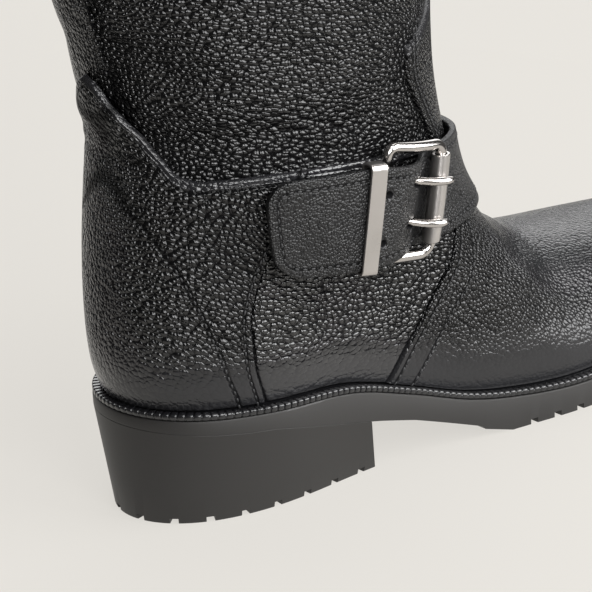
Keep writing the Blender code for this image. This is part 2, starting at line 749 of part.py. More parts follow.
def make_strap(finish):
    turns = np.linspace(STRAP_TIP_TURN, STRAP_END_TURN, STRAP_COLUMNS)
    turns = np.concatenate([STRAP_TIP_TURN + STRAP_TIP_STEPS, turns[1:]])
    middle = strap_points(turns, np.zeros_like(turns), 0.0)
    run = np.concatenate([[0.0], np.cumsum(np.linalg.norm(np.diff(middle, axis=0), axis=1))])
    short = np.clip(1 - run / STRAP_CORNER, 0.0, 1.0)
    reach = 1 - STRAP_CORNER / STRAP_HALF * (1 - np.sqrt(1 - short * short))
    across, turn = np.meshgrid(np.linspace(-1, 1, STRAP_ROWS), turns)
    across = across * reach[:, None]
    outside, inside = strap_points(turn, across, STRAP_THICK), strap_points(turn, across, 0.0)
    strap = sheet_object("strap", outside, inside, finish)
    boxes = [hole_box(buckle_points, w, SLOT_FROM, SLOT_TO, SLOT_HALF, PRONG_LEAN)
             for w in (PRONG_UP, PRONG_DOWN)]
    boxes += [hole_box(keeper_points, w, HOLE_U - HOLE_HALF, HOLE_U + HOLE_HALF, HOLE_HALF)
              for w in (HOLE_W, -HOLE_W)]
    cut_boxes(strap, "strap_holes", boxes, finish)


def tube_loops(path, normal, radii, closed):
    """Rings round a path whose plane has the given normal."""
    if closed:
        tangent = np.roll(path, -1, axis=0) - np.roll(path, 1, axis=0)
    else:
        tangent = np.gradient(path, axis=0)
    tangent /= np.linalg.norm(tangent, axis=1, keepdims=True)
    side = np.cross(tangent, normal)
    side /= np.linalg.norm(side, axis=1, keepdims=True)
    up = np.cross(side, tangent)
    angles = np.arange(ROD_SIDES) * 2 * math.pi / ROD_SIDES
    return [centre + radius * (np.outer(np.cos(angles), s) + np.outer(np.sin(angles), n))
            for centre, radius, s, n in zip(path, radii, side, up)]


def arc(centre_a, centre_b, radius, start, end, count):
    """Points of an arc in a plane, angles in degrees."""
    angles = np.radians(np.linspace(start, end, count))
    return np.stack([centre_a + radius * np.cos(angles), centre_b + radius * np.sin(angles)], axis=-1)


def make_buckle_frame(finish):
    bends = []
    for (u, w, radius), start in zip(FRAME_CORNERS, (0, 90, 180, 270)):
        middle_u, middle_w = u - math.copysign(radius, u), w - math.copysign(radius, w)
        bends.append(arc(middle_u, middle_w, radius, start, start + 90, CORNER_STEPS))
    bar_middle = (bends[1][-1:] + bends[2][:1]) / 2
    flat = np.concatenate([*bends[:2], bar_middle, *bends[2:]])
    slope = (ROLLER_D - BAR_D) / (ROLLER_U - BAR_U)
    path = np.column_stack([flat, BAR_D + (flat[:, 0] - BAR_U) * slope])
    loops = tube_loops(path, (-slope, 0.0, 1.0), np.full(len(path), ROD_RADIUS), True)
    stack_object("buckle_frame", [buckle_points(ring) for ring in loops], finish, ring=True)


def make_roller(finish):
    loops = []
    for radius, w in ((ROLLER_RADIUS, -ROLLER_HALF), (ROLLER_RADIUS, ROLLER_HALF),
                      (ROD_RADIUS + GAP, ROLLER_HALF), (ROD_RADIUS + GAP, -ROLLER_HALF)):
        ring = arc(ROLLER_U, ROLLER_D, radius, 0, 360, ROLLER_SIDES + 1)[:-1]
        loops.append(buckle_points(np.insert(ring, 1, w, axis=1)))
    stack_object("buckle_roller", loops, finish, ring=True)


def make_prong(name, w, finish):
    hook = arc(BAR_U, BAR_D, ROD_RADIUS + GAP + HOOK_RADIUS, 105, 75, 3)
    line = np.concatenate([hook, PRONG_PATH[:, :2]])
    path = np.insert(line, 1, w - PRONG_LEAN * line[:, 0], axis=1)
    radii = np.concatenate([np.full(len(hook), HOOK_RADIUS), PRONG_PATH[:, 2]])
    loops = tube_loops(path, (0.0, 1.0, 0.0), radii, False)
    stack_object(name, [buckle_points(ring) for ring in loops], finish)


def make_keeper(finish):
    loops = []
    for inset, end in ((0.0, -1), (0.0, 1), (KEEPER_THICK, 1), (KEEPER_THICK, -1)):
        u = end * KEEPER_HALF
        low, high = KEEPER_LOW + inset, KEEPER_HIGH - inset
        w = np.linspace(-1, 1, KEEPER_STATIONS) * (KEEPER_REACH - inset)
        ring = [(u, v, low) for v in w] + [(u, v, high) for v in w[::-1]]
        loops.append(keeper_points([(u, v, d + KEEPER_SLOPE * u - KEEPER_TILT * v) for u, v, d in ring]))
    stack_object("keeper", loops, finish, ring=True)


def make_chape(finish):
    sides = []
    for radius in (ROD_RADIUS + GAP + CHAPE_THICK, ROD_RADIUS + GAP):
        run = [(u, BAR_D - radius) for u in np.linspace(CHAPE_BACK, BAR_U, CHAPE_STEPS)[:-1]]
        bend = arc(BAR_U, BAR_D, radius, -90, 90, CHAPE_STEPS)
        sides.append(np.concatenate([run, bend, [(CHAPE_LAP, BAR_D + radius)]]))
    profile = np.concatenate([sides[0], sides[1][::-1]])
    loops = [buckle_points(np.insert(profile, 1, w, axis=1)) for w in (-CHAPE_HALF, CHAPE_HALF)]
    stack_object("chape", loops, finish)


def clear_scene():
    for old in list(bpy.data.objects):
        bpy.data.objects.remove(old, do_unlink=True)


def centre_on_floor():
    """Parent every piece to one empty that puts the boot's box centre over the origin."""
    pieces = [o for o in bpy.context.scene.objects if o.type in {"MESH", "CURVE"}]
    corners = np.array([corner for o in pieces if not o.hide_render for corner in o.bound_box])
    middle = (corners.min(axis=0) + corners.max(axis=0)) / 2
    root = bpy.data.objects.new("boot", None)
    bpy.context.scene.collection.objects.link(root)
    for piece in pieces:
        piece.parent = root
    root.location = (-middle[0], -middle[1], -corners.min(axis=0)[2])


def main():
    clear_scene()
    leather = material("black_leather", (0.012, 0.012, 0.013), 0.35)
    rubber = material("dark_rubber", (0.055, 0.052, 0.05), 0.6)
    gloss = material("gloss_welt", (0.008, 0.008, 0.009), 0.2)
    board = material("insole_board", (0.09, 0.075, 0.06), 0.8)
    nickel = material("dark_nickel", (0.42, 0.40, 0.38), 0.3, 1.0)
    make_outsole(rubber)
    make_heel(rubber)
    make_welt(gloss)
    make_insole(board)
    make_upper(leather)
    make_panels(leather)
    make_strap(leather)
    make_chape(leather)
    make_buckle_frame(nickel)
    make_roller(nickel)
    make_prong("prong_upper", PRONG_UP, nickel)
    make_prong("prong_lower", PRONG_DOWN, nickel)
    make_keeper(nickel)
    centre_on_floor()


main()
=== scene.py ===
"""Looks of a right biker boot: pebbled black leather, ribbed welt, rubber sole and roller buckle.

Sizes in the tables are in millimetres. The boot is drawn with y = 0 at the back of the sole edge, z = 0 on
the floor and its outer side at +x, and is then set where the loaded frame stands.
"""

import math

import bmesh
import bpy
import numpy as np
from bpy.props import FloatProperty, FloatVectorProperty, PointerProperty
from mathutils import Matrix, Vector


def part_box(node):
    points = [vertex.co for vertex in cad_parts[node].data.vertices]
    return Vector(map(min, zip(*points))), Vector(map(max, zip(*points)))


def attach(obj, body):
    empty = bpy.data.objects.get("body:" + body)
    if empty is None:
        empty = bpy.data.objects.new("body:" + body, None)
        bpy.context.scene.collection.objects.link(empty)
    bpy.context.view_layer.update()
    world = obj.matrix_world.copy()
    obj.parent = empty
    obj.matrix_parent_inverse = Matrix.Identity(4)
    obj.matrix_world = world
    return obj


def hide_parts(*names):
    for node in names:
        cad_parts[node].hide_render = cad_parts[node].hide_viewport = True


bl_info = {
    "name": "Biker Boot",
    "version": (1, 0, 0),
    "blender": (4, 5, 0),
    "location": "View3D > Sidebar > Boot",
    "description": "Dresses a biker boot in leather, rubber and metal",
    "category": "Object",
}

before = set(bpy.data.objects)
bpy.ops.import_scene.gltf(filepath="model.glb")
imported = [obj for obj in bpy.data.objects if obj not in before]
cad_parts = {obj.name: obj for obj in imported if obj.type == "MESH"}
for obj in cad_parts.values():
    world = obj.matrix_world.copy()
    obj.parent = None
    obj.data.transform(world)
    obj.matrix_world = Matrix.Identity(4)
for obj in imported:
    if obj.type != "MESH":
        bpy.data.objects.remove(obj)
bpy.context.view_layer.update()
MM = 0.001

# Sizes shared with the part's solids
WELT_THICK = 2.4
WELT_LEDGE = 4.6
WELT_INSIDE = 6.0
PLATEAU_GAP = 1.0
GAP = 0.3
UPPER_WALL = 2.0
PANEL_OUT = 1.7
QUARTER_OUT = 1.1
INSOLE_THICK = 3.0
INSOLE_INSET = 6.0
ANKLE_HEIGHT = 135.0
BACK_ROUND = 31.0
TOE_ROUND = 29.0
TOE_SWING = -4.5
TUCK_SHARE = 0.055
TUCK_FADE = 5.0
INSTEP_CLOSE = 45.0
ARCH_FROM = 138.0
ARCH_TO = 178.0
BEND_LEVELS = 9.5
DIP_DEEP = 5.0
DIP_LEVEL = 5.6
DIP_SPREAD = 1.5
JOINT_BEVEL = 0.15
BREAST_TOP = 80.8
BREAST_BASE = 86.2
HEEL_BASE_SHARE = 0.825
HEEL_BASE_BACK = 2.9
HEEL_NOTCHES = 16
NOTCH_WIDE = 3.0
NOTCH_DEEP = 8.0
NOTCH_HIGH = 2.0
LUG_FROM = 150.0
LUG_TO = 262.0
LUG_PITCH = 10.0
LUG_GROOVE = 3.0
LUG_LONG = 15.0
LUG_HIGH = 2.0

# Height of the sole's upper edge along the foot: y, z
SOLE_EDGE = np.array([
    (0, 39.7), (40, 37.2), (75, 32.9), (100, 24.6), (125, 15.7), (150, 11.2),
    (175, 9.8), (200, 11.0), (225, 14.6), (250, 20.0), (284, 29.0),
])

# Underside of the outsole, with the step at the front of the shank: y, z
SOLE_BOTTOM = np.array([
    (-1, 35.7), (40, 31.2), (85, 19.5), (100, 15.2), (125, 6.0), (128, 4.9), (129.5, 3.4), (141, 0.0),
    (190, 0.0), (205, 1.0), (225, 3.8), (250, 9.2), (284, 18.4),
])

# Side outline of the upper, a row for each level: back y, back z, front y, front z
PROFILE = np.array([
    (4.4, 42.0, 276.0, 29.3),
    (1.8, 50.0, 277.0, 36.0),
    (0.6, 60.0, 273.4, 40.0),
    (0.4, 69.0, 262.6, 44.2),
    (0.8, 80.0, 242.5, 46.6),
    (1.8, 91.0, 214.8, 49.4),
    (3.3, 102.0, 186.3, 53.9),
    (5.2, 113.0, 164.8, 63.9),
    (7.2, 124.0, 146.9, 85.4),
    (7.0, 136.0, 135.6, 117.6),
    (4.2, 152.0, 131.0, 150.0),
    (-1.6, 178.0, 132.2, 181.0),
    (-7.0, 256.0, 135.0, 262.0),
])
COLLAR_LEVEL = len(PROFILE) - 1.0

# Plan of the last at the sole: y, half width, centre line x
PLAN = np.array([
    (40, 33.9, 0.0), (75, 31.9, 1.0), (107, 30.2, 2.6), (140, 36.4, 0.6),
    (176, 43.5, -1.6), (210, 41.6, -2.5), (242, 31.8, -3.4),
])

# Half width of the shaft's oval: z, half width
SHAFT = np.array([(40, 42.5), (90, 44.5), (120, 45.8), (135, 47.0), (150, 49.5), (180, 52.0), (262, 55.0)])

# Cross sections of the forefoot: y, crown exponent, side exponent
SECTION = np.array([(140, 1.5, 1.9), (165, 1.7, 2.0), (190, 2.1, 2.1), (225, 2.5, 2.3), (278, 2.6, 2.4)])

# Front edge of the counter and rear edge of the vamp with its tongue: z, y
COUNTER_EDGE = np.array([
    (40, 39.0), (52, 35.1), (64, 33.8), (72, 33.8), (83, 37.3), (100, 45.0), (125, 56.0),
])
VAMP_EDGE = np.array([
    (10, 78.0), (32, 93.5), (41, 99.5), (52, 107.4), (63, 115.2), (73, 122.0), (83, 124.0),
    (97, 121.0), (113, 114.0), (126, 105.4), (140, 97.5), (150, 96.0), (175, 96.0),
])

# Top edge of counter and quarters, and of the tongue: turn from the back in degrees, z
TOPLINE = np.array([
    (0, 155.5), (5, 152.5), (10, 146.0), (15, 139.5), (20, 133.5), (25, 127.8), (29, 123.0), (33, 121.0),
    (45, 120.2), (60, 120.0), (92, 117.2), (110, 114.5), (125, 112.0), (180, 108.0),
])
TONGUE_TOP = np.array([(100, 148.0), (115, 150.0), (125, 153.0), (140, 158.0), (160, 164.0), (180, 167.0)])
BACK_STRIP_TURN = 9.0
TAB_LIFT = 2.6
TAB_LEVEL = 8.5
TAB_RISE = 0.9
TAB_TURN = 0.55

# Soft troughs and ridges of the leather, on one side or with 0 on both:
# side, y, z, lean in degrees, half length, half width, height
CREASES = np.array([
    (1, 45, 132, -3, 42, 5.0, -1.0),
    (1, 40, 145, -2, 40, 6.5, 1.0),
    (1, 69, 132, -8, 24, 2.4, -0.5),
    (0, 13, 158, -42, 15, 3.2, -0.7),
    (0, 21, 166, -38, 17, 3.6, 0.7),
    (0, 12, 178, -32, 17, 4.5, 0.7),
    (1, 62, 172, -12, 36, 5.0, -0.6),
    (1, 60, 196, 4, 42, 9.0, 0.6),
    (0, 4, 126, 0, 12, 2.2, -0.5),
    (0, 4, 131, 0, 12, 2.2, 0.4),
    (1, 26, 77, -57, 18, 6.0, 0.8),
    (1, 68, 56, -10, 34, 9.0, 1.8),
    (1, 68, 83, -8, 34, 9.0, -1.6),
    (1, 103, 67, 55, 12, 3.0, 0.7),
    (1, 109, 64, 55, 12, 2.5, -0.6),
    (1, 124, 61, -57, 13, 4.5, 0.8),
    (1, 148, 28, -6, 28, 7.0, 0.9),
    (1, 150, 52, -52, 20, 4.0, -0.8),
    (1, 160, 46, -48, 18, 4.0, 0.7),
    (1, 170, 42, -44, 18, 4.0, -0.6),
    (-1, 52, 131, -3, 44, 5.0, -1.0),
    (-1, 50, 144, -2, 42, 6.5, 0.9),
    (-1, 66, 170, -8, 38, 6.0, -0.6),
    (-1, 60, 198, 5, 40, 9.0, 0.6),
    (-1, 70, 58, -8, 34, 9.0, 1.2),
    (-1, 28, 78, -50, 18, 6.0, 0.7),
    (-1, 108, 66, 55, 12, 3.0, -0.6),
    (-1, 152, 50, -50, 20, 4.0, -0.8),
    (-1, 163, 44, -46, 18, 4.0, 0.7),
    (-1, 174, 40, -42, 18, 4.0, -0.5),
])

# Strap: turns in degrees from the back, round the outer side and the front to the inner side
STRAP_HALF = 17.1
STRAP_THICK = 2.4
STRAP_TIP_TURN = 61.5
STRAP_END_TURN = 278.0
STRAP_CORNER = 9.0
STRAP_SKEW = 1.9
PINCH = 0.9
PINCH_TURN = 108.0
PINCH_SPAN = 14.0
FRONT_TILT = 0.18
FRONT_SPAN = 75.0
FRONT_FLARE = 0.7
# Centre line of the strap: turn, z
STRAP_LINE = np.array([
    (58, 101.8), (75, 101.0), (88, 100.6), (100, 99.3), (113, 97.4), (140, 95.6), (180, 93.4),
    (220, 95.4), (250, 97.5), (278, 99.5),
])
# Distance of the strap's inner face from the upper, on the outer side: along the buckle, distance
STRAP_RISE = np.array([
    (-60, 3.1), (-45, 3.6), (-34, 5.4), (-26, 7.0), (-18, 8.2), (-13, 9.2), (-9, 9.4), (-5, 8.8),
    (-1, 7.6), (2, 6.0), (5, 4.0), (8, 3.2), (12, 3.0), (25, 2.9), (50, 2.8), (70, 2.8),
])
# How far the strap's lower edge stands out there, and its upper edge in: along the buckle, distance
STRAP_TILT = np.array([(-45, 0.0), (-30, 1.2), (-20, 2.0), (-12, 0.9), (-4, 0.2), (2, 0.0), (70, 0.0)])
# The same on the inner side: turn, distance
STRAP_FALL = np.array([(180, 2.8), (210, 2.8), (240, 2.2), (260, 1.7), (278, 1.7)])

# Buckle on the outer side: u runs forwards along it, w up across it and d out from the upper
BUCKLE_Y = 92.5
BUCKLE_Z = 99.0
BUCKLE_LEAN = math.radians(7)
ROD_RADIUS = 1.8
BAR_U = -12.0
BAR_D = 4.6
ROLLER_U = 11.0
ROLLER_D = 9.0
# Corners of the frame's rod: u, w, bend radius
FRAME_CORNERS = ((ROLLER_U, 18.3, 4.0), (BAR_U, 20.3, 2.4), (BAR_U, -18.8, 2.4), (ROLLER_U, -18.5, 4.0))
ROLLER_RADIUS = 3.0
ROLLER_HALF = 14.5
HOOK_RADIUS = 0.8
PRONG_UP = 8.0
PRONG_DOWN = -5.9
PRONG_LEAN = 0.14
# Middle line of a prong after its hook over the bar: u, d, radius
PRONG_PATH = np.array([
    (-9.0, 6.8, 0.9), (-6.5, 6.2, 1.0), (-4.0, 5.8, 1.1), (-2.0, 6.1, 1.2), (0.0, 7.3, 1.3), (3.0, 9.7, 1.3),
    (6.5, 12.1, 1.3), (9.5, 13.5, 1.3), (11.2, 13.8, 1.1),
])
SLOT_FROM = -4.2
SLOT_TO = 3.6
SLOT_HALF = 1.9
KEEPER_Y = 73.0
KEEPER_Z = 100.5
KEEPER_HALF = 2.9
KEEPER_REACH = 18.5
KEEPER_LOW = 6.4
KEEPER_HIGH = 11.8
KEEPER_THICK = 0.9
KEEPER_SLOPE = 0.15
KEEPER_TILT = 0.117
HOLE_U = 4.8
HOLE_W = 8.1
HOLE_RADIUS = 1.3
HOLE_REACH = (1.0, 15.0)
CHAPE_HALF = 2.6
CHAPE_THICK = 0.8
CHAPE_BACK = -42.0
CHAPE_LAP = -14.6

# Mesh density
UPPER_COLUMNS = 220
UPPER_ROWS = 120
LINING_ROWS = 40
SOLE_STATIONS = 150
HEEL_STATIONS = 60
STRAP_STATIONS = 220
ROD_SIDES = 24
FIT_ROUNDS = 90
SEAM_SAMPLES = 481
# Distances from a panel's edge at which it has extra rows of points
EDGE_STEPS = np.array([0.0, 0.1, 0.3, 0.6, 1.0, 1.6, 2.4, 3.0, 3.6, 4.6])

# Stitch rows: distance from a panel's edge, from the top line and from the strap's edge
ROW_INSIDE = 3.0
ROW_UNDER = 3.4
STRAP_ROW = 3.4
STRAP_ROW_END = 268.0
# Second rows on the counter and on the vamp: z, y
COUNTER_ROW = np.array([
    (38, 30.5), (45.1, 28.2), (50.7, 26.0), (58, 23.9), (63.3, 22.3), (69.6, 20.2), (75, 18.7), (84.4, 15.7),
    (94.4, 12.2), (110, 6.5),
])
VAMP_ROW = np.array([
    (12, 92.0), (27.9, 103.8), (39.5, 112.2), (52.5, 120.7), (61.2, 127.6), (72.6, 132.7), (81.7, 131.3),
    (97, 126.5), (113, 119.5), (126, 111.0), (140, 103.0), (150, 101.5), (175, 101.5),
])

# Panels: gap at the seams beside the quarters in radians of turn, radius of the edges, depth in the upper
SEAM_GAP = 0.004
PANEL_ROUND = 1.0
PANEL_SINK = 0.25

# Grain: least strength, its growth over the welt, its loss towards the toe and over the toe's crown; where
# the grain is low the leather's colour is lighter, a painted reflection
GRAIN_LEAST = 0.12
GRAIN_FROM = 7.0
GRAIN_RISE = 21.0
TOE_FADE_FROM = 125.0
TOE_FADE_SPAN = 45.0
TOE_SMOOTH = 0.25
CROWN_SMOOTH = 0.6
CROWN_FROM = 0.45
CROWN_SPAN = 0.4
# Grain left at a panel's top edge, and the width over which it comes back
TOP_GRAIN = 0.2
TOP_FADE = 2.0
STRAP_GRAIN = 0.8
CHAPE_GRAIN = 0.5
# Shares of painted shade in furrows and stitch rows, depth of the rows against a pebble, height of the folds
FURROW_PAINTED_SHADE = 0.9
ROW_PAINTED_SHADE = 0.75
ROW_SUNK = 0.8
FOLD_HIGH = 2.2

# Strap: radius of its edges, distance from them at which its flat points begin, run added at its blunt ends
STRAP_ROUND = 0.8
STRAP_FLAT = 3.0
STRAP_END = 0.02
# Turn in degrees after the tip over which the strap's stations stand close
STRAP_TIP_SPAN = 4.0
# Narrowing rings at a prong's tip: share of its radius, distance ahead
PRONG_TIP = ((0.85, 0.2), (0.55, 0.35))
# Corners, bevels, point steps and gaps of keeper, roller, heel and insole
KEEPER_CORNER = 1.6
KEEPER_BEVEL = 0.15
KEEPER_STEP = 0.7
ROLLER_BEVEL = 0.25
HEEL_TOP_GAP = 0.05
INSOLE_ROUND_IN = 0.5
INSOLE_ROUND_DOWN = 0.6

# Ribs of the welt: half length as a share of the pitch, half height, half depth, place on the welt
RIB_SHARE = 0.46
RIB_HIGH = 1.05
RIB_DEEP = 1.75
RIB_INSET = 1.6
RIB_RISE = 1.35
# Stitches: half length as a share of the pitch, half width, half depth, depth in the leather
STITCH_SHARE = 0.42
STITCH_WIDE = 0.5
STITCH_DEEP = 0.42
STITCH_SINK = 0.1
# Levels at which stitch rows start, end or keep away from an edge
ROW_START = 0.1
COUNTER_ROW_END = 5.2
VAMP_ROW_END = 10.2
CORNER_CLEAR = 0.35
TOP_CLEAR = 0.29
COLLAR_CLEAR = 0.06
CORNER_LEVEL = 8.0
# Shift of the vamp's first row along y, and turns between which the top row runs
VAMP_ROW_SHIFT = 1.25 * ROW_INSIDE
TOP_ROW_FROM = 0.02
TOP_ROW_TO = 0.64 * math.pi

# Rounded edges, from below: of the outsole's top (inset, drop), the heel (share of height, inset)
# and the welt (inset, rise)
SOLE_LIP = ((0.0, 0.7), (0.1, 0.3), (0.35, 0.08), (0.8, 0.0), (WELT_LEDGE + WELT_INSIDE + PLATEAU_GAP, 0.0))
HEEL_STEPS = ((0.0, 0.5), (0.006, 0.15), (0.016, 0.0), (0.35, 0.0), (0.7, 0.0), (0.997, 0.0), (1.0, 0.08))
WELT_ROUND = (
    (0.6, 0.0), (0.15, 0.25), (0.0, 0.7), (0.0, 1.3), (0.25, 1.75), (0.7, 1.95), (WELT_LEDGE + 1.0, 1.95),
)

# Leathers: share of the full pebble, stretch, lean in degrees, depth, roughness, gloss
LEATHERS = {
    "black_leather": (1.0, 1.8, -16, 0.72, 0.16, 0.5),
    "side_leather": (1.0, 1.6, -16, 0.72, 0.15, 0.75),
    "heel_leather": (1.0, 1.8, -36, 0.72, 0.16, 0.5),
    "vamp_leather": (0.8, 1.4, -40, 0.46, 0.22, 0.5),
    "strap_leather": (0.55, 1.2, 60, 0.26, 0.32, 0.5),
}
# Even finishes: colour setting, roughness, its spread, texture scale, depth, coat
PLAINS = {
    "lining": ("lining", 0.75, 0.1, 900.0, 0.12, 0.0),
    "insole_board": ("lining", 0.8, 0.1, 700.0, 0.15, 0.0),
    "thread": ("thread", 0.55, 0.1, 2500.0, 0.05, 0.0),
    "dark_rubber": ("rubber", 0.5, 0.08, 1400.0, 0.02, 0.0),
    "gloss_welt": ("welt", 0.22, 0.06, 600.0, 0.02, 0.4),
}
# Metals: roughness, depth of the brushed lines
METALS = {"polished_metal": (0.16, 0.004), "satin_metal": (0.3, 0.012)}

# Soft boxes, in metres and watts: name, place, width, height, power
LIGHTS = (
    ("overhead", (-0.4, 0.7, 2.0), 1.2, 1.2, 12.0),
    ("key", (0.94, 0.73, 0.55), 1.1, 1.1, 30.0),
    ("side", (1.28, -0.42, 0.62), 0.7, 0.9, 20.0),
    ("high", (0.9, -0.1, 1.6), 0.6, 0.6, 7.0),
    ("rear", (-1.1, 0.95, 0.75), 1.6, 1.1, 12.0),
    ("left_edge", (-1.3, -0.1, 0.45), 1.1, 0.8, 2.5),
)
LIGHT_AIM = Vector((0, 0, 0.08))
SKY = (1.0, 0.985, 0.96, 1.0)

# Camera: angle round from the heel towards the outer side, angle up, roll, target and distance in millimetres
CAMERA_ROUND = math.radians(52.0)
CAMERA_UP = math.radians(20.7)
CAMERA_ROLL = math.radians(-3.5)
CAMERA_TARGET = Vector((0.0, 80.0, 57.1))
CAMERA_DISTANCE = 1000.0
CAMERA_LENS = 176.6
CAMERA_SENSOR = 36.0
CAMERA_NEAR = 0.01

# Floor in metres: a sheet that sweeps up ahead of the camera, and a patch that shows in reflections
FLOOR_SIZE = 6.0
FLOOR_LOW = -0.2 * MM
SWEEP_FROM = 0.9
SWEEP_RADIUS = 0.8
SWEEP_TOP = 5.0
SWEEP_AHEAD = Vector((-math.sin(CAMERA_ROUND), math.cos(CAMERA_ROUND), 0.0))
PATCH_MIDDLE = (-0.12, 0.05)
PATCH_HALF = (0.55, 0.3)


# Form of the boot

def smooth(knots, values, at):
    """Cubic curve through the values at the knots, with slopes from the neighbours."""
    slopes = np.gradient(values, knots)
    at = np.clip(at, knots[0], knots[-1])
    i = np.clip(np.searchsorted(knots, at) - 1, 0, len(knots) - 2)
    step = knots[i + 1] - knots[i]
    t = (at - knots[i]) / step
    first, last = values[i], values[i + 1]
    rise, fall = slopes[i] * step, slopes[i + 1] * step
    square = 3 * (last - first) - 2 * rise - fall
    cube = 2 * (first - last) + rise + fall
    return first + t * (rise + t * (square + t * cube))


def from_table(table, at, column=1):
    """Cubic curve through a column of a table over its first column."""
    return smooth(table[:, 0], table[:, column], at)


def ease(t):
    """Soft step from 0 to 1."""
    t = np.clip(t, 0.0, 1.0)
    return t * t * (3 - 2 * t)


def unit(vectors):
    """Vectors brought to length 1."""
    return vectors / np.linalg.norm(vectors, axis=-1, keepdims=True)


def run_along(path):
    """Distance from the start of a line to each of its points."""
    return np.concatenate([[0.0], np.cumsum(np.linalg.norm(np.diff(path, axis=0), axis=1))])


def oval(share):
    """Half width of a unit oval at a share of its length."""
    return 2 * np.sqrt(np.clip(share * (1 - share), 0.0, 1.0))


def sole_edge(y):
    return from_table(SOLE_EDGE, y)


def feather(y):
    """Height of the welt's top, where the upper stands."""
    return sole_edge(y) + WELT_THICK


def sole_bottom(y):
    return np.interp(y, SOLE_BOTTOM[:, 0], SOLE_BOTTOM[:, 1])


PROFILE[0, 1] = feather(PROFILE[0, 0])
PROFILE[0, 3] = feather(PROFILE[0, 2])
FOOT_BACK = PROFILE[0, 0]
FOOT_FRONT = PROFILE[0, 2]
TIP_HEIGHT = PROFILE[1, 3]
LEVELS = np.arange(len(PROFILE), dtype=float)


def back_line(z):
    return smooth(PROFILE[:, 1], PROFILE[:, 0], z)


def front_line(z):
    return smooth(PROFILE[:, 3], PROFILE[:, 2], z)


RIDGE_Z = np.linspace(TIP_HEIGHT, PROFILE[-1, 3], 2000)
RIDGE_Y = front_line(RIDGE_Z)


def ridge(y):
    """Height of the top line from the toe tip up to the shaft."""
    return np.interp(y, RIDGE_Y[::-1], RIDGE_Z[::-1])


def plan_width(y, back, front):
    """Half width of the last's plan between its back and its toe."""
    span = FOOT_FRONT - FOOT_BACK
    shares = (PLAN[:, 0] - FOOT_BACK) / span
    fullness = PLAN[:, 1] / oval(shares)
    ends = np.sqrt(np.array([BACK_ROUND, TOE_ROUND]) * span / 2)
    knots = np.concatenate([[0.0], shares, [1.0]])
    values = np.concatenate([ends[:1], fullness, ends[1:]])
    share = np.clip((y - back) / (front - back), 0.0, 1.0)
    return oval(share) * smooth(knots, values, share)


def swing(y):
    """Sideways curve of the last's centre line."""
    knots = np.concatenate([[0.0], PLAN[:, 0], [FOOT_FRONT]])
    values = np.concatenate([[0.0], PLAN[:, 2], [TOE_SWING]])
    return smooth(knots, values, y)


def half_width(y, z):
    """Half width of the upper: level ovals at heel and shaft, upright arches over the forefoot."""
    back, front = back_line(z), front_line(z)
    low = plan_width(y, back, front_line(np.minimum(z, TIP_HEIGHT)))
    near = np.clip((y - front + INSTEP_CLOSE) / INSTEP_CLOSE, 0.0, 1.0)
    height = z - feather(y)
    rise = ease(height / (ANKLE_HEIGHT - feather(y)))
    shaft = from_table(SHAFT, z) * oval(np.clip((y - back) / (front - back), 0.0, 1.0))
    level_oval = (1 - rise) * low * np.sqrt(1 - near * near) + rise * shaft
    crown = np.clip(height / np.maximum(ridge(y) - feather(y), 1e-6), 0.0, 1.0)
    crown_power = from_table(SECTION, y)
    side_power = from_table(SECTION, y, 2)
    arch = low * np.power(np.clip(1 - np.power(crown, crown_power), 0.0, 1.0), 1 / side_power)
    share = ease((y - ARCH_FROM) / (ARCH_TO - ARCH_FROM))
    tuck = 1 - TUCK_SHARE * np.exp(-height / TUCK_FADE)
    return ((1 - share) * level_oval + share * arch) * tuck


def side_path(turn, level):
    """Side view place (y, z) on a ring of the upper; turn is 0 at the back and pi at the front."""
    share = (1 - np.cos(turn)) / 2
    back_z = smooth(LEVELS, PROFILE[:, 1], level)
    front_z = smooth(LEVELS, PROFILE[:, 3], level)
    back_y, front_y = back_line(back_z), front_line(front_z)
    y = back_y + (front_y - back_y) * share
    bend = feather(y) - feather(back_y) - (feather(front_y) - feather(back_y)) * share
    forward = 27 / 4 * share * share * (1 - share)
    dip = DIP_DEEP * np.exp(-((level - DIP_LEVEL) / DIP_SPREAD) ** 2) * forward
    return y, back_z + (front_z - back_z) * share + (1 - ease(level / BEND_LEVELS)) * bend - dip


def surface_at(turn, y, z):
    """Point on the upper's outside at a side view place; turns from 0 to pi are on the outer side."""
    middle = swing(y) * (1 - ease((z - feather(y)) / (ANKLE_HEIGHT - feather(y))))
    x = middle + np.sign(np.sin(turn)) * half_width(y, z)
    return np.stack([x, y, z], axis=-1)


def upper_point(turn, level):
    """Point on a ring of the upper."""
    return surface_at(turn, *side_path(turn, level))


def section_point(turn, z):
    """Point on a level section of the upper."""
    back, front = back_line(z), front_line(z)
    return surface_at(turn, back + (front - back) * (1 - np.cos(turn)) / 2, z)


def outer_point(y, z):
    """Point on the outer side of the upper."""
    return surface_at(math.pi / 2, y, z)


def outward(surface, a, b):
    """Unit normal of a surface function of two values."""
    small = 0.01
    along = surface(a + small, b) - surface(a - small, b)
    across = surface(a, b + small) - surface(a, b - small)
    return unit(np.cross(along, across))


def pushed(surface, a, b, distance):
    """Point of a surface function of two values, moved out along the normal."""
    return surface(a, b) + outward(surface, a, b) * np.asarray(distance)[..., None]


def crease_height(turn, y, z):
    """Height of the soft troughs and ridges at a side view place."""
    side = np.sign(np.sin(turn))
    total = np.zeros_like(y)
    for which, at_y, at_z, lean, half_long, half_wide, height in CREASES:
        cosine, sine = math.cos(math.radians(lean)), math.sin(math.radians(lean))
        along = ((y - at_y) * cosine + (z - at_z) * sine) / half_long
        across = ((z - at_z) * cosine - (y - at_y) * sine) / half_wide
        here = (which == 0) | (side == which)
        total = total + here * height * np.exp(-along ** 4 - across ** 2)
    return total


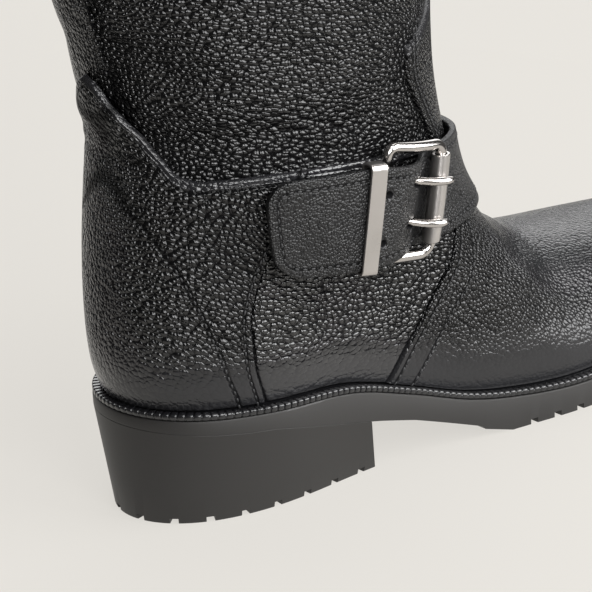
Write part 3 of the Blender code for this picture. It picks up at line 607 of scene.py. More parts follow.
def on_upper(turn, level, distance):
    """Points over the upper at a distance, with its creases."""
    y, z = side_path(turn, level)
    return pushed(upper_point, turn, level, distance + crease_height(turn, y, z))


def edge_turn(edge):
    """Turn at which each ring crosses a seam given as y at each z."""
    levels = np.linspace(0.0, COLLAR_LEVEL, SEAM_SAMPLES)
    turns = np.linspace(0.0, math.pi, SEAM_SAMPLES)
    crossing = []
    for level in levels:
        y, z = side_path(turns, level)
        crossing.append(np.interp(0.0, y - from_table(edge, z), turns))
    return lambda level: np.interp(level, levels, crossing)


def edge_level(edge):
    """Level at which a top edge, given as z at each turn in degrees, lies on the rings."""
    turns = np.linspace(0.0, math.pi, SEAM_SAMPLES)
    levels = np.linspace(0.0, COLLAR_LEVEL, SEAM_SAMPLES)
    found = []
    for turn in turns:
        _, z = side_path(turn, levels)
        found.append(np.interp(from_table(edge, math.degrees(turn)), z, levels))
    return lambda turn: np.interp(np.abs(turn), turns, found)


COUNTER_TURN = edge_turn(COUNTER_EDGE)
VAMP_TURN = edge_turn(VAMP_EDGE)
TOP_LEVEL = edge_level(TOPLINE)
TONGUE_LEVEL = edge_level(TONGUE_TOP)

UPPER_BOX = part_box("upper")
ORIGIN = np.array([
    (UPPER_BOX[0].x + UPPER_BOX[1].x) / 2,
    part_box("outsole")[0].y - (FOOT_BACK - WELT_LEDGE) * MM,
    0.0,
])


# Mesh helpers

def placed(points):
    """Points in millimetres set in the frame, in metres."""
    return np.asarray(points, dtype=float).reshape(-1, 3) * MM + ORIGIN


def add_object(name, data):
    """New object in the scene."""
    made = bpy.data.objects.new(name, data)
    bpy.context.scene.collection.objects.link(made)
    return made


def mesh_piece(name, points, faces, finishes, slots=None, marks=None, sharp=40.0):
    """Closed mesh object with its materials, face slots and point attributes."""
    mesh = bpy.data.meshes.new(name)
    mesh.from_pydata(placed(points).tolist(), [], faces)
    for finish in finishes:
        mesh.materials.append(finish)
    if slots is not None:
        mesh.polygons.foreach_set("material_index", slots)
    for mark, values in (marks or {}).items():
        attribute = mesh.attributes.new(mark, "FLOAT", "POINT")
        attribute.data.foreach_set("value", np.asarray(values, dtype=np.float32).ravel())
    build = bmesh.new()
    build.from_mesh(mesh)
    bmesh.ops.remove_doubles(build, verts=build.verts, dist=1e-6)
    bmesh.ops.recalc_face_normals(build, faces=build.faces)
    build.to_mesh(mesh)
    build.free()
    mesh.shade_smooth()
    mesh.set_sharp_from_angle(angle=math.radians(sharp))
    return add_object(name, mesh)


def grid_faces(rows, columns, start=0, closed=False):
    """Quads of a point grid whose first point has index start."""
    faces = []
    for i in range(rows - 1):
        low, high = start + i * columns, start + (i + 1) * columns
        for j in range(columns if closed else columns - 1):
            far = (j + 1) % columns
            faces.append((low + j, low + far, high + far, high + j))
    return faces


def ring_piece(name, loops, finishes, **more):
    """Solid through loops of points, closed round into a ring."""
    loops = list(loops)
    size = len(loops[0])
    faces = grid_faces(len(loops) + 1, size, 0, True)
    count = len(loops) * size
    faces = [tuple(k % count for k in face) for face in faces]
    return mesh_piece(name, np.concatenate(loops), faces, finishes, **more)


def capped_piece(name, loops, finishes, **more):
    """Solid through loops of points, closed by a fan at each end."""
    loops = list(loops)
    size = len(loops[0])
    last = (len(loops) - 1) * size
    points = np.concatenate(loops + [loops[0].mean(axis=0)[None], loops[-1].mean(axis=0)[None]])
    faces = grid_faces(len(loops), size, 0, True)
    for middle, start in ((len(points) - 2, 0), (len(points) - 1, last)):
        faces += [(middle, start + j, start + (j + 1) % size) for j in range(size)]
    return mesh_piece(name, points, faces, finishes, **more)


def strip_piece(name, loops, finishes, **more):
    """Solid through loops of paired points, closed by strips between the pairs at each end."""
    loops = list(loops)
    size = len(loops[0])
    faces = grid_faces(len(loops), size, 0, True)
    for start in (0, (len(loops) - 1) * size):
        for j in range(size // 2 - 1):
            faces.append((start + j, start + j + 1, start + size - 2 - j, start + size - 1 - j))
    return mesh_piece(name, np.concatenate(loops), faces, finishes, **more)


def sheet_piece(name, outside, inside, finishes, marks):
    """Solid between two point grids of the same size, with marks given for the outer grid."""
    rows, columns = outside.shape[:2]
    count = rows * columns
    faces = grid_faces(rows, columns) + [face[::-1] for face in grid_faces(rows, columns, count)]
    edges = [[i * columns + j for j in range(columns)] for i in (0, rows - 1)]
    edges += [[i * columns + j for i in range(rows)] for j in (0, columns - 1)]
    for edge in edges:
        faces += [(a, b, count + b, count + a) for a, b in zip(edge, edge[1:])]
    points = np.concatenate([outside.reshape(-1, 3), inside.reshape(-1, 3)])
    doubled = {mark: np.concatenate([values.ravel(), values.ravel()]) for mark, values in marks.items()}
    return mesh_piece(name, points, faces, finishes, marks=doubled)


def cut_out(piece, loops_list):
    """Cut closed prisms, each given as two matching loops, out of a piece."""
    points, faces = [], []
    for low, high in loops_list:
        start, size = sum(len(p) for p in points), len(low)
        points += [low, high]
        faces += grid_faces(2, size, start, True)
        faces.append(tuple(start + j for j in reversed(range(size))))
        faces.append(tuple(start + size + j for j in range(size)))
    cutter = mesh_piece("cutter", np.concatenate(points), faces, [])
    cut = piece.modifiers.new("cut", "BOOLEAN")
    cut.operation = "DIFFERENCE"
    cut.object = cutter
    freeze(piece)
    bpy.data.objects.remove(cutter, do_unlink=True)
    piece.data.set_sharp_from_angle(angle=math.radians(30))


def freeze(piece):
    """Turn an object with modifiers into a plain mesh."""
    bpy.context.view_layer.update()
    evaluated = piece.evaluated_get(bpy.context.evaluated_depsgraph_get())
    made = bpy.data.meshes.new_from_object(evaluated)
    piece.modifiers.clear()
    piece.data = made


def dress(piece, slot, *nodes):
    """Let a piece stand for the frame's nodes and ride with the boot."""
    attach(piece, "root")
    if nodes:
        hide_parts(*nodes)


# Shader helpers

class Value:
    """A socket of a material's tree; arithmetic on it adds Math nodes."""

    def __init__(self, look, socket):
        self.look = look
        self.socket = socket

    def maths(self, operation, first, second):
        return self.look.node("ShaderNodeMath", {"operation": operation}, {0: first, 1: second})

    def __add__(self, other):
        return self.maths("ADD", self, other)

    def __radd__(self, other):
        return self.maths("ADD", other, self)

    def __sub__(self, other):
        return self.maths("SUBTRACT", self, other)

    def __rsub__(self, other):
        return self.maths("SUBTRACT", other, self)

    def __mul__(self, other):
        return self.maths("MULTIPLY", self, other)

    def __rmul__(self, other):
        return self.maths("MULTIPLY", other, self)

    def __abs__(self):
        return self.maths("ABSOLUTE", self, 0.0)

    def most(self, other):
        return self.maths("MAXIMUM", self, other)


def shade(colour, share):
    """A share of a colour, with full alpha."""
    return (*(share * c for c in colour), 1)


class Look:
    """A material whose nodes are added by name."""

    def __init__(self, name, constants):
        self.material = bpy.data.materials.new(name)
        self.material.use_nodes = True
        self.tree = self.material.node_tree
        self.shader = self.tree.nodes["Principled BSDF"]
        for socket, value in constants.items():
            self.shader.inputs[socket].default_value = value

    def node(self, kind, settings=None, inputs=None, output=0):
        made = self.tree.nodes.new(kind)
        for name, value in (settings or {}).items():
            setattr(made, name, value)
        for socket, value in (inputs or {}).items():
            self.feed(made.inputs[socket], value)
        return Value(self, made.outputs[output])

    def feed(self, socket, value):
        if isinstance(value, Value):
            self.tree.links.new(value.socket, socket)
        else:
            socket.default_value = value

    def set(self, socket, value):
        self.feed(self.shader.inputs[socket], value)

    def mixed(self, share, constants):
        """Blend a second plain shader into the surface by a share."""
        second = self.node("ShaderNodeBsdfPrincipled", None, constants)
        first = Value(self, self.shader.outputs[0])
        both = self.node("ShaderNodeMixShader", None, {0: share, 1: first, 2: second})
        self.feed(self.tree.nodes["Material Output"].inputs["Surface"], both)

    def place(self, scale=(1, 1, 1), turn=(0, 0, 0)):
        """Object coordinates, turned and then scaled."""
        where = self.node("ShaderNodeTexCoord", output="Object")
        return self.node("ShaderNodeMapping", {"vector_type": "TEXTURE"}, {
            "Vector": where, "Rotation": turn, "Scale": tuple(1 / s for s in scale),
        })

    def mark(self, name):
        return self.node("ShaderNodeAttribute", {"attribute_name": name}, output="Fac")

    def noise(self, vector, scale, detail=2.0, rough=0.5):
        return self.node("ShaderNodeTexNoise", None, {
            "Vector": vector, "Scale": scale, "Detail": detail, "Roughness": rough,
        })

    def soft(self, value, low, high, start=0.0, end=1.0):
        """Soft step of a value between two limits."""
        return self.node("ShaderNodeMapRange", {"interpolation_type": "SMOOTHSTEP"}, {
            "Value": value, "From Min": low, "From Max": high, "To Min": start, "To Max": end,
        })

    def blend(self, share, first, second):
        """Mix of two colours."""
        return self.node("ShaderNodeMix", {"data_type": "RGBA"}, {0: share, 6: first, 7: second}, 2)

    def bump(self, height, distance, under=None):
        """Normal bent by a height, on top of another bent normal if one is given."""
        inputs = {"Height": height, "Distance": distance}
        if under is not None:
            inputs["Normal"] = under
        return self.node("ShaderNodeBump", None, inputs)


def leather_look(name, colour, pebble, stretch, lean, depth, roughness, gloss):
    """Pebbled leather: domed cells that meet in furrows, with sunk stitch rows; furrows and rows are darkened
    with painted shade.

    The cells are longer than high by the stretch and lean by an angle in degrees. Low grain is smooth.
    """
    look = Look(name, {"Specular IOR Level": gloss})
    leaning = (math.radians(lean), 0, 0)
    where = look.place(scale=(1.0, 1 / stretch, 1.0), turn=leaning)
    drifting = {"Vector": where, "Scale": 0.3 / pebble, "Detail": 1.0}
    drift = look.node("ShaderNodeTexNoise", None, drifting, "Color")
    shifted = look.node("ShaderNodeVectorMath", {"operation": "MULTIPLY_ADD"}, {
        0: drift, 1: (0.9 * pebble,) * 3, 2: where,
    })
    cells = {"Vector": shifted, "Scale": 1 / pebble, "Randomness": 0.85}
    middle = look.node("ShaderNodeTexVoronoi", {"feature": "F1"}, cells)
    border = look.node("ShaderNodeTexVoronoi", {"feature": "DISTANCE_TO_EDGE"}, cells)
    grain = look.mark("grain")
    fine = look.noise(where, 4.0 / pebble, 2.0)
    broad = look.noise(look.place(), 30.0, 2.0)
    folds = look.noise(look.place(scale=(1.0, 0.4, 1.0), turn=leaning), 95.0, 1.0)
    # Stitch rows: sunk into the height below, and darkened with painted shade in the mix at the end
    rows = 0.0
    for mark in ROW_MARKS:
        rows = look.soft(abs((look.mark(mark) - 1) * ROW_SPAN), 0.1, 0.9, 1.0, 0.0).most(rows)
    dome = 0.15 * look.soft(border, 0.0, 0.2) + 1.0 - 2.2 * middle * middle
    # Painted shade in the furrows between the pebbles, as strong as the grain
    furrow_shade = look.soft(border, 0.0, 0.1, 1.0, 0.0) * grain
    raised = look.bump(folds * grain, FOLD_HIGH * MM)
    strength = grain * (0.6 + 0.8 * broad)
    height = dome * strength + 0.05 * fine - ROW_SUNK * rows
    look.set("Normal", look.bump(height, depth * MM, under=raised))
    # Painted reflection: the colour is five times lighter where the grain is low, chiefly on the smooth band
    # beside the welt, where it stands in for the pale floor reflected there
    look.set("Base Color", look.blend(grain, shade(colour, 5.0), shade(colour, 1.0)))
    look.set("Roughness", roughness + 0.12 * (broad - 0.5) + 0.08 * (fine - 0.5))
    # Painted shade: furrows and stitch rows blend into a near-black surface that hardly reflects
    look.mixed((FURROW_PAINTED_SHADE * furrow_shade).most(ROW_PAINTED_SHADE * rows), {
        "Base Color": shade(colour, 0.3), "Roughness": 0.7, "Specular IOR Level": 0.04,
    })
    return look.material


def plain_look(name, colour, roughness, spread, scale, depth, coat):
    """Even finish with a faint fine texture."""
    look = Look(name, {"Coat Weight": coat, "Coat Roughness": 0.08})
    where = look.place()
    fine = look.noise(where, scale, 3.0, 0.6)
    broad = look.noise(where, 22.0, 2.0)
    look.set("Base Color", look.blend(broad, shade(colour, 0.86), shade(colour, 1.12)))
    look.set("Roughness", roughness + spread * (fine - 0.5) + spread * (broad - 0.5))
    look.set("Normal", look.bump(fine, depth * MM))
    return look.material


def metal_look(name, colour, roughness, brushing):
    """Gunmetal with fine lines along the boot."""
    look = Look(name, {"Metallic": 1.0})
    lines = look.noise(look.place(scale=(1.0, 0.04, 1.0)), 4200.0, 2.0, 0.6)
    broad = look.noise(look.place(), 60.0, 2.0)
    look.set("Base Color", look.blend(broad, shade(colour, 0.9), shade(colour, 1.1)))
    look.set("Roughness", roughness + 0.10 * (lines - 0.5) + 0.05 * (broad - 0.5))
    look.set("Normal", look.bump(lines, brushing * MM))
    return look.material


def floor_look(name, colour):
    """Pale floor that glows a little, so that it stays even."""
    look = Look(name, {"Roughness": 0.9, "Specular IOR Level": 0.0, "Emission Strength": 0.81})
    broad = look.noise(look.place(), 1.5, 2.0)
    tone = look.blend(broad, shade(colour, 0.995), shade(colour, 1.0))
    look.set("Emission Color", tone)
    look.set("Base Color", look.blend(0.88, tone, shade(colour, 0.0)))
    return look.material


# Marks that hold the distance to a stitch row, as 1 plus a share of the span in millimetres
ROW_MARKS = ("row_side", "row_top", "row_far")
ROW_SPAN = 100.0
LOOKS = {}


def finish(name):
    """The material of that name, made from the boot's colours on first use."""
    boot = bpy.context.scene.boot
    if name in LOOKS:
        return LOOKS[name]
    if name in LEATHERS:
        share, *rest = LEATHERS[name]
        LOOKS[name] = leather_look(name, boot.leather, share * boot.pebble, *rest)
    elif name in PLAINS:
        colour, *rest = PLAINS[name]
        LOOKS[name] = plain_look(name, getattr(boot, colour), *rest)
    elif name in METALS:
        LOOKS[name] = metal_look(name, boot.metal, *METALS[name])
    else:
        LOOKS[name] = floor_look(name, boot.floor)
    return LOOKS[name]


def row_mark(distance):
    """Mark for a signed distance to a stitch row in millimetres; pieces without the mark read as far away."""
    return 1 + distance / ROW_SPAN


def grain_at(y, z):
    """Strength of the pebble: low beside the welt and over the toe."""
    height = z - feather(y)
    crown = height / np.maximum(ridge(y) - feather(y), 1.0)
    smoothed = TOE_SMOOTH + CROWN_SMOOTH * ease((crown - CROWN_FROM) / CROWN_SPAN)
    toe = ease((y - TOE_FADE_FROM) / TOE_FADE_SPAN) * smoothed
    return GRAIN_LEAST + (1 - GRAIN_LEAST) * ease((height - GRAIN_FROM) / GRAIN_RISE) * (1 - toe)


# Upper and panels

def make_upper():
    turns = np.arange(UPPER_COLUMNS) * 2 * math.pi / UPPER_COLUMNS
    levels = np.linspace(0.0, COLLAR_LEVEL, UPPER_ROWS)
    turn, level = np.meshgrid(turns, levels)
    outside = on_upper(turn, level, 0.0)
    outside[0, :, 2] = feather(outside[0, :, 1]) + GAP
    rim_level = np.full((1, UPPER_COLUMNS), COLLAR_LEVEL)
    normal = outward(upper_point, turns[None, :], rim_level)
    rim = upper_point(turns[None, :], rim_level)
    half = UPPER_WALL / 2
    rolls = []
    for angle in np.radians(np.arange(20, 180, 20)):
        lifted = rim + normal * (half * math.cos(angle) - half)
        lifted[..., 2] += half * math.sin(angle)
        rolls.append(lifted)
    turn, level = np.meshgrid(turns, np.linspace(COLLAR_LEVEL, 0.0, LINING_ROWS))
    inside = pushed(upper_point, turn, level, np.full_like(turn, -UPPER_WALL))
    inside[-1, :, 2] = feather(outside[0, :, 1]) + GAP
    rows = np.concatenate([outside, *rolls, inside])
    lining_from = (len(outside) + len(rolls)) * UPPER_COLUMNS
    slots = [0 if i < lining_from else 1 for i in range(len(rows) * UPPER_COLUMNS)]
    piece = ring_piece("upper_shell", rows, [finish("black_leather"), finish("lining")],
                       slots=slots, marks={"grain": grain_at(rows[..., 1], rows[..., 2])})
    dress(piece, "black_leather", "upper")


def edge_spread(length, cells, both=True):
    """Shares from 0 to 1 with extra steps near the edges of a width in millimetres."""
    near = EDGE_STEPS / length
    ends = [near, 1 - near[::-1]] if both else [np.zeros(1), 1 - near[::-1]]
    middle = np.linspace(ends[0][-1], ends[1][0], cells + 1)
    return np.concatenate([ends[0][:-1], middle, ends[1][1:]])


def fitted(left, right, low, high, shares, heights):
    """Turns and levels of a grid that follows the four edges of a panel."""
    share, height = np.meshgrid(shares, heights)
    level = height * 1.0
    turn = share * 1.0
    for _ in range(FIT_ROUNDS):
        turn = (turn + left(level) + share * (right(level) - left(level))) / 2
        level = (level + low(turn) + height * (high(turn) - low(turn))) / 2
    return turn, level


def rounded(distance, radius):
    """Rise from 0 to 1 over a rounded edge."""
    short = 1 - np.clip(distance / radius, 0.0, 1.0)
    return np.sqrt(1 - short * short)


def make_panel(name, node, turn, level, out, sewn, rows=(), far=None, lift=None, leather="black_leather"):
    """Panel on the upper with rounded edges on its sewn sides and stitch rows inside some of them."""
    flat = on_upper(turn, level, 0.0)
    away = {
        "left": np.linalg.norm(flat - flat[:, :1], axis=-1),
        "right": np.linalg.norm(flat - flat[:, -1:], axis=-1),
        "top": np.linalg.norm(flat - flat[-1:], axis=-1),
        "bottom": np.linalg.norm(flat - flat[:1], axis=-1),
    }
    rim = np.minimum.reduce([away[side] for side in sewn])
    raised = 0.0 if lift is None else lift(turn, level)
    outside = on_upper(turn, level, out * rounded(rim, PANEL_ROUND) + raised)
    inside = on_upper(turn, level, raised - PANEL_SINK)
    for side in (outside, inside):
        side[0, :, 2] = np.where(level[0] == 0, feather(side[0, :, 1]) + GAP, side[0, :, 2])
    y, z = side_path(turn, level)
    below = ease((away["top"] - TOP_FADE) / TOP_FADE)
    marks = {"grain": grain_at(y, z) * (TOP_GRAIN + (1 - TOP_GRAIN) * below)}
    if "side" in rows:
        marks["row_side"] = row_mark(np.minimum(away["left"], away["right"]) - ROW_INSIDE)
    if "top" in rows:
        marks["row_top"] = row_mark(away["top"] - ROW_UNDER)
    if far is not None:
        marks["row_far"] = row_mark((y - from_table(far, z)) * 0.8)
    piece = sheet_piece(name, outside, inside, [finish(leather)], marks)
    dress(piece, "black_leather", node)


def tab_lift(turn, level):
    """Extra distance of the counter's raised back tab."""
    return TAB_LIFT * ease((level - TAB_LEVEL) / TAB_RISE) * ease(1 - np.abs(turn) / TAB_TURN)


def bottom(turn):
    return 0.0 * turn


def make_panels():
    front = 2 * math.pi
    strip = math.radians(BACK_STRIP_TURN)
    sides, around = ("left", "right"), ("left", "right", "top")
    turn, level = fitted(lambda at: -COUNTER_TURN(at), COUNTER_TURN, bottom, TOP_LEVEL,
                         edge_spread(150, 100), edge_spread(100, 60, False))
    make_panel("heel_panel", "counter", turn, level, PANEL_OUT, around, ("side", "top"),
               COUNTER_ROW, tab_lift, "heel_leather")
    turn, level = fitted(lambda at: COUNTER_TURN(at) + SEAM_GAP, lambda at: VAMP_TURN(at) - SEAM_GAP,
                         bottom, TOP_LEVEL, edge_spread(80, 50), edge_spread(90, 56, False))
    make_panel("outer_quarter", "quarter_outer", turn, level, QUARTER_OUT, around, ("top",),
               leather="side_leather")
    make_panel("inner_quarter", "quarter_inner", -turn[:, ::-1], level[:, ::-1], QUARTER_OUT, around,
               ("top",), leather="side_leather")
    turn, level = fitted(VAMP_TURN, lambda at: front - VAMP_TURN(at), bottom,
                         lambda at: TONGUE_LEVEL(np.minimum(at, front - at)),
                         edge_spread(200, 130), edge_spread(150, 90, False))
    make_panel("vamp_and_tongue", "vamp", turn, level, PANEL_OUT, around, ("side", "top"),
               VAMP_ROW, leather="vamp_leather")
    turn, level = fitted(lambda at: 0 * at - strip, lambda at: 0 * at + strip, TOP_LEVEL,
                         lambda at: 0 * at + COLLAR_LEVEL, edge_spread(16, 6), np.linspace(0, 1, 70))
    make_panel("back_seam_strip", "back_strip", turn, level, QUARTER_OUT, sides, ("side",))


# Sole

def sole_shares():
    """Stations along the sole, close at both ends, with the steps of the underside among them."""
    even = (1 - np.cos(np.linspace(0, math.pi, SOLE_STATIONS))) / 2
    steps = (SOLE_BOTTOM[2:9, 0] - FOOT_BACK) / (FOOT_FRONT - FOOT_BACK)
    kept = [s for s in even if np.min(np.abs(steps - s)) > 0.002]
    return np.sort(np.concatenate([kept, steps]))


def outline(shares, grow, squeeze=1.0):
    """Pairs of plan points, outer side then inner side; growth moves y only near the two ends."""
    start, end = FOOT_BACK - grow, FOOT_FRONT + grow
    y = FOOT_BACK + (FOOT_FRONT - FOOT_BACK) * shares + grow * (2 * shares - 1) ** 5
    wide = (plan_width(y, start, end) + grow * oval((y - start) / (end - start))) * squeeze
    return y, swing(y) + wide, swing(y) - wide


def pair_loop(y, outer, inner, z):
    near = np.stack([outer, y, z], axis=-1)
    far = np.stack([inner, y, z], axis=-1)
    return np.concatenate([near, far[::-1]])


def loop(shares, grow, height):
    """Closed plan loop at the height given for each y."""
    y, outer, inner = outline(shares, grow)
    return pair_loop(y, outer, inner, height(y))


def bar_loops(centre, along, half_long, half_wide, low, high):
    """Lower and upper loop of an upright bar whose length runs along a plan direction."""
    across = np.array([-along[1], along[0]])
    corners = [centre + along * a * half_long + across * b * half_wide
               for a, b in ((-1, -1), (1, -1), (1, 1), (-1, 1))]
    return tuple(np.array([(x, y, z) for x, y in corners]) for z in (low, high))


def make_outsole():
    shares = sole_shares()
    loops = []
    for angle in np.radians(np.linspace(0, 90, 5)):
        inset = JOINT_BEVEL * (1 - math.sin(angle))
        rise = JOINT_BEVEL * (1 - math.cos(angle))
        loops.append(loop(shares, WELT_LEDGE - inset, lambda y, rise=rise: sole_bottom(y) + rise))
    for inset, drop in SOLE_LIP:
        loops.append(loop(shares, WELT_LEDGE - inset, lambda y, drop=drop: sole_edge(y) - drop))
    loops.append(loop(shares, -WELT_INSIDE - PLATEAU_GAP, feather))
    piece = strip_piece("rubber_sole", loops, [finish("dark_rubber")])
    bars = []
    for y in np.arange(LUG_FROM, LUG_TO, LUG_PITCH):
        share = (y - FOOT_BACK) / (FOOT_FRONT - FOOT_BACK)
        _, outer, inner = outline(np.array([share]), WELT_LEDGE)
        top = sole_bottom(y) + LUG_HIGH
        for x in (outer[0], inner[0]):
            middle, sideways = np.array([x, y]), np.array([1.0, 0.0])
            bars.append(bar_loops(middle, sideways, LUG_LONG, LUG_GROOVE / 2, -LUG_HIGH, top))
    cut_out(piece, bars)
    dress(piece, "dark_rubber", "outsole")


def heel_side(shares, fraction, inset):
    """Plan pairs of the heel at a fraction of its height, from the back to the breast."""
    squeeze = HEEL_BASE_SHARE + (1 - HEEL_BASE_SHARE) * fraction
    full_back = FOOT_BACK - WELT_LEDGE
    back = HEEL_BASE_BACK + (full_back - HEEL_BASE_BACK) * fraction + inset
    breast = BREAST_BASE + (BREAST_TOP - BREAST_BASE) * fraction - inset
    y, outer, inner = outline(shares, WELT_LEDGE - inset, squeeze)
    y = back + (y - y[0]) * (breast - back) / (y[-1] - y[0])
    return y, outer, inner


def make_heel():
    last = (BREAST_TOP - FOOT_BACK) / (FOOT_FRONT - FOOT_BACK)
    shares = last * (1 - np.cos(np.linspace(0, math.pi / 2, HEEL_STATIONS)))
    loops = []
    for fraction, inset in HEEL_STEPS:
        y, outer, inner = heel_side(shares, fraction, inset)
        loops.append(pair_loop(y, outer, inner, (sole_bottom(y) - HEEL_TOP_GAP) * fraction))
    piece = strip_piece("rubber_heel", loops, [finish("dark_rubber")], sharp=30.0)
    rim = loops[0]
    half = len(rim) // 2
    path = np.concatenate([rim[half - 1::-1], rim[:half - 1:-1]])[:, :2]
    run = run_along(path)
    bars = []
    for i in range(HEEL_NOTCHES):
        at = run[-1] * (i + 0.5) / HEEL_NOTCHES
        centre = np.array([np.interp(at, run, path[:, k]) for k in range(2)])
        ahead = np.array([np.interp(at + 1.0, run, path[:, k]) for k in range(2)]) - centre
        inward = unit(np.array([-ahead[1], ahead[0]]))
        bars.append(bar_loops(centre, inward, NOTCH_DEEP, NOTCH_WIDE / 2, -NOTCH_HIGH, NOTCH_HIGH))
    cut_out(piece, bars)
    dress(piece, "dark_rubber", "heel")


def make_insole():
    shares = sole_shares()
    loops = [
        loop(shares, -INSOLE_INSET, lambda y: feather(y) + GAP),
        loop(shares, -INSOLE_INSET, lambda y: feather(y) + GAP + INSOLE_THICK - INSOLE_ROUND_DOWN),
        loop(shares, -INSOLE_INSET - INSOLE_ROUND_IN, lambda y: feather(y) + GAP + INSOLE_THICK),
    ]
    piece = strip_piece("insole_sheet", loops, [finish("insole_board")])
    dress(piece, "insole_board", "insole")


# Repeats along a path

def path_object(name, paths, closed=False):
    """Mesh of open or closed lines, each given as points and outward directions, for the repeats."""
    points, edges, normals = [], [], []
    for path, normal in paths:
        start = sum(len(p) for p in points)
        points.append(placed(path))
        normals.append(normal)
        edges += [(start + i, start + i + 1) for i in range(len(path) - 1)]
        if closed:
            edges.append((start + len(path) - 1, start))
    mesh = bpy.data.meshes.new(name)
    mesh.from_pydata(np.concatenate(points).tolist(), edges, [])
    outwards = mesh.attributes.new("outward", "FLOAT_VECTOR", "POINT")
    outwards.data.foreach_set("vector", np.concatenate(normals).astype(np.float32).ravel())
    return add_object(name, mesh)


def repeat_tree(name):
    """Node tree that sets rounded grains along the lines of a mesh at a pitch."""
    tree = bpy.data.node_groups.new(name, "GeometryNodeTree")
    sockets = (
        ("Lines", "NodeSocketGeometry"), ("Pitch", "NodeSocketFloat"), ("Size", "NodeSocketVector"),
        ("Rounding", "NodeSocketInt"), ("Crease", "NodeSocketFloat"), ("Finish", "NodeSocketMaterial"),
    )
    for label, kind in sockets:
        tree.interface.new_socket(label, in_out="INPUT", socket_type=kind)
    tree.interface.new_socket("Repeats", in_out="OUTPUT", socket_type="NodeSocketGeometry")

    def add(kind, **settings):
        made = tree.nodes.new(kind)
        for label, value in settings.items():
            setattr(made, label, value)
        return made

    entry, leave = add("NodeGroupInput"), add("NodeGroupOutput")
    curve, even = add("GeometryNodeMeshToCurve"), add("GeometryNodeResampleCurve", mode="LENGTH")
    normal = add("GeometryNodeInputNamedAttribute", data_type="FLOAT_VECTOR")
    normal.inputs["Name"].default_value = "outward"
    tangent = add("GeometryNodeInputTangent")
    turn = add("FunctionNodeAxesToRotation", primary_axis="Z", secondary_axis="X")
    block, ball = add("GeometryNodeMeshCube"), add("GeometryNodeSubdivisionSurface")
    block.inputs["Size"].default_value = (2.0, 2.0, 2.0)
    soft = add("GeometryNodeSetShadeSmooth")
    sow, solid = add("GeometryNodeInstanceOnPoints"), add("GeometryNodeRealizeInstances")
    coat = add("GeometryNodeSetMaterial")
    for source, outlet, target, inlet in (
        (entry, "Lines", curve, "Mesh"), (curve, "Curve", even, "Curve"), (entry, "Pitch", even, "Length"),
        (even, "Curve", sow, "Points"), (block, "Mesh", ball, "Mesh"), (entry, "Rounding", ball, "Level"),
        (entry, "Crease", ball, "Edge Crease"),
        (ball, "Mesh", soft, "Geometry"), (soft, "Geometry", sow, "Instance"), (entry, "Size", sow, "Scale"),
        (normal, "Attribute", turn, "Primary Axis"), (tangent, "Tangent", turn, "Secondary Axis"),
        (turn, "Rotation", sow, "Rotation"), (sow, "Instances", solid, "Geometry"),
        (solid, "Geometry", coat, "Geometry"), (entry, "Finish", coat, "Material"),
        (coat, "Geometry", leave, "Repeats"),
    ):
        tree.links.new(source.outputs[outlet], target.inputs[inlet])
    return tree


def sow_along(lines, inputs):
    """Run the repeats on a line object and leave it as a plain mesh."""
    tree = repeat_tree(lines.name + "_repeats")
    modifier = lines.modifiers.new("repeats", "NODES")
    modifier.node_group = tree
    keys = {item.name: item.identifier for item in tree.interface.items_tree if item.in_out == "INPUT"}
    for label, value in inputs.items():
        modifier[keys[label]] = value
    freeze(lines)


def make_welt():
    boot = bpy.context.scene.boot
    shares = sole_shares()
    ledge = WELT_LEDGE - GAP
    loops = []
    for inset, rise in WELT_ROUND:
        loops.append(loop(shares, ledge - inset, lambda y, rise=rise: sole_edge(y) + GAP / 2 + rise))
    loops.append(loop(shares, -WELT_INSIDE, feather))
    loops.append(loop(shares, -WELT_INSIDE, lambda y: sole_edge(y) + GAP))
    piece = ring_piece("welt_strip", loops, [finish("gloss_welt")])
    dress(piece, "gloss_welt", "welt")
    rim = loop(shares, ledge - RIB_INSET, lambda y: sole_edge(y) + RIB_RISE)
    half = len(rim) // 2
    rim = np.delete(rim, [half, len(rim) - 1], axis=0)
    ahead = np.roll(rim, -1, axis=0) - np.roll(rim, 1, axis=0)
    out = unit(np.stack([ahead[:, 1], -ahead[:, 0], 0 * ahead[:, 0]], axis=-1))
    ribs = path_object("welt_ribs", [(rim, out)], True)
    sow_along(ribs, {
        "Pitch": boot.rib_pitch, "Size": (RIB_SHARE * boot.rib_pitch, RIB_HIGH * MM, RIB_DEEP * MM),
        "Rounding": 2, "Crease": 0.6, "Finish": finish("gloss_welt"),
    })
    dress(ribs, "gloss_welt")


# Strap and buckle

def side_points(local, y, z):
    """Points on the outer side from u, w and d in the buckle's leaning frame, with its middle at y, z."""
    u, w, d = np.moveaxis(np.asarray(local, dtype=float), -1, 0)
    cosine, sine = math.cos(BUCKLE_LEAN), math.sin(BUCKLE_LEAN)
    return pushed(outer_point, y + u * cosine + w * sine, z - u * sine + w * cosine, d)


def buckle_points(local):
    return side_points(local, BUCKLE_Y, BUCKLE_Z)


def keeper_points(local):
    return side_points(local, KEEPER_Y, KEEPER_Z)


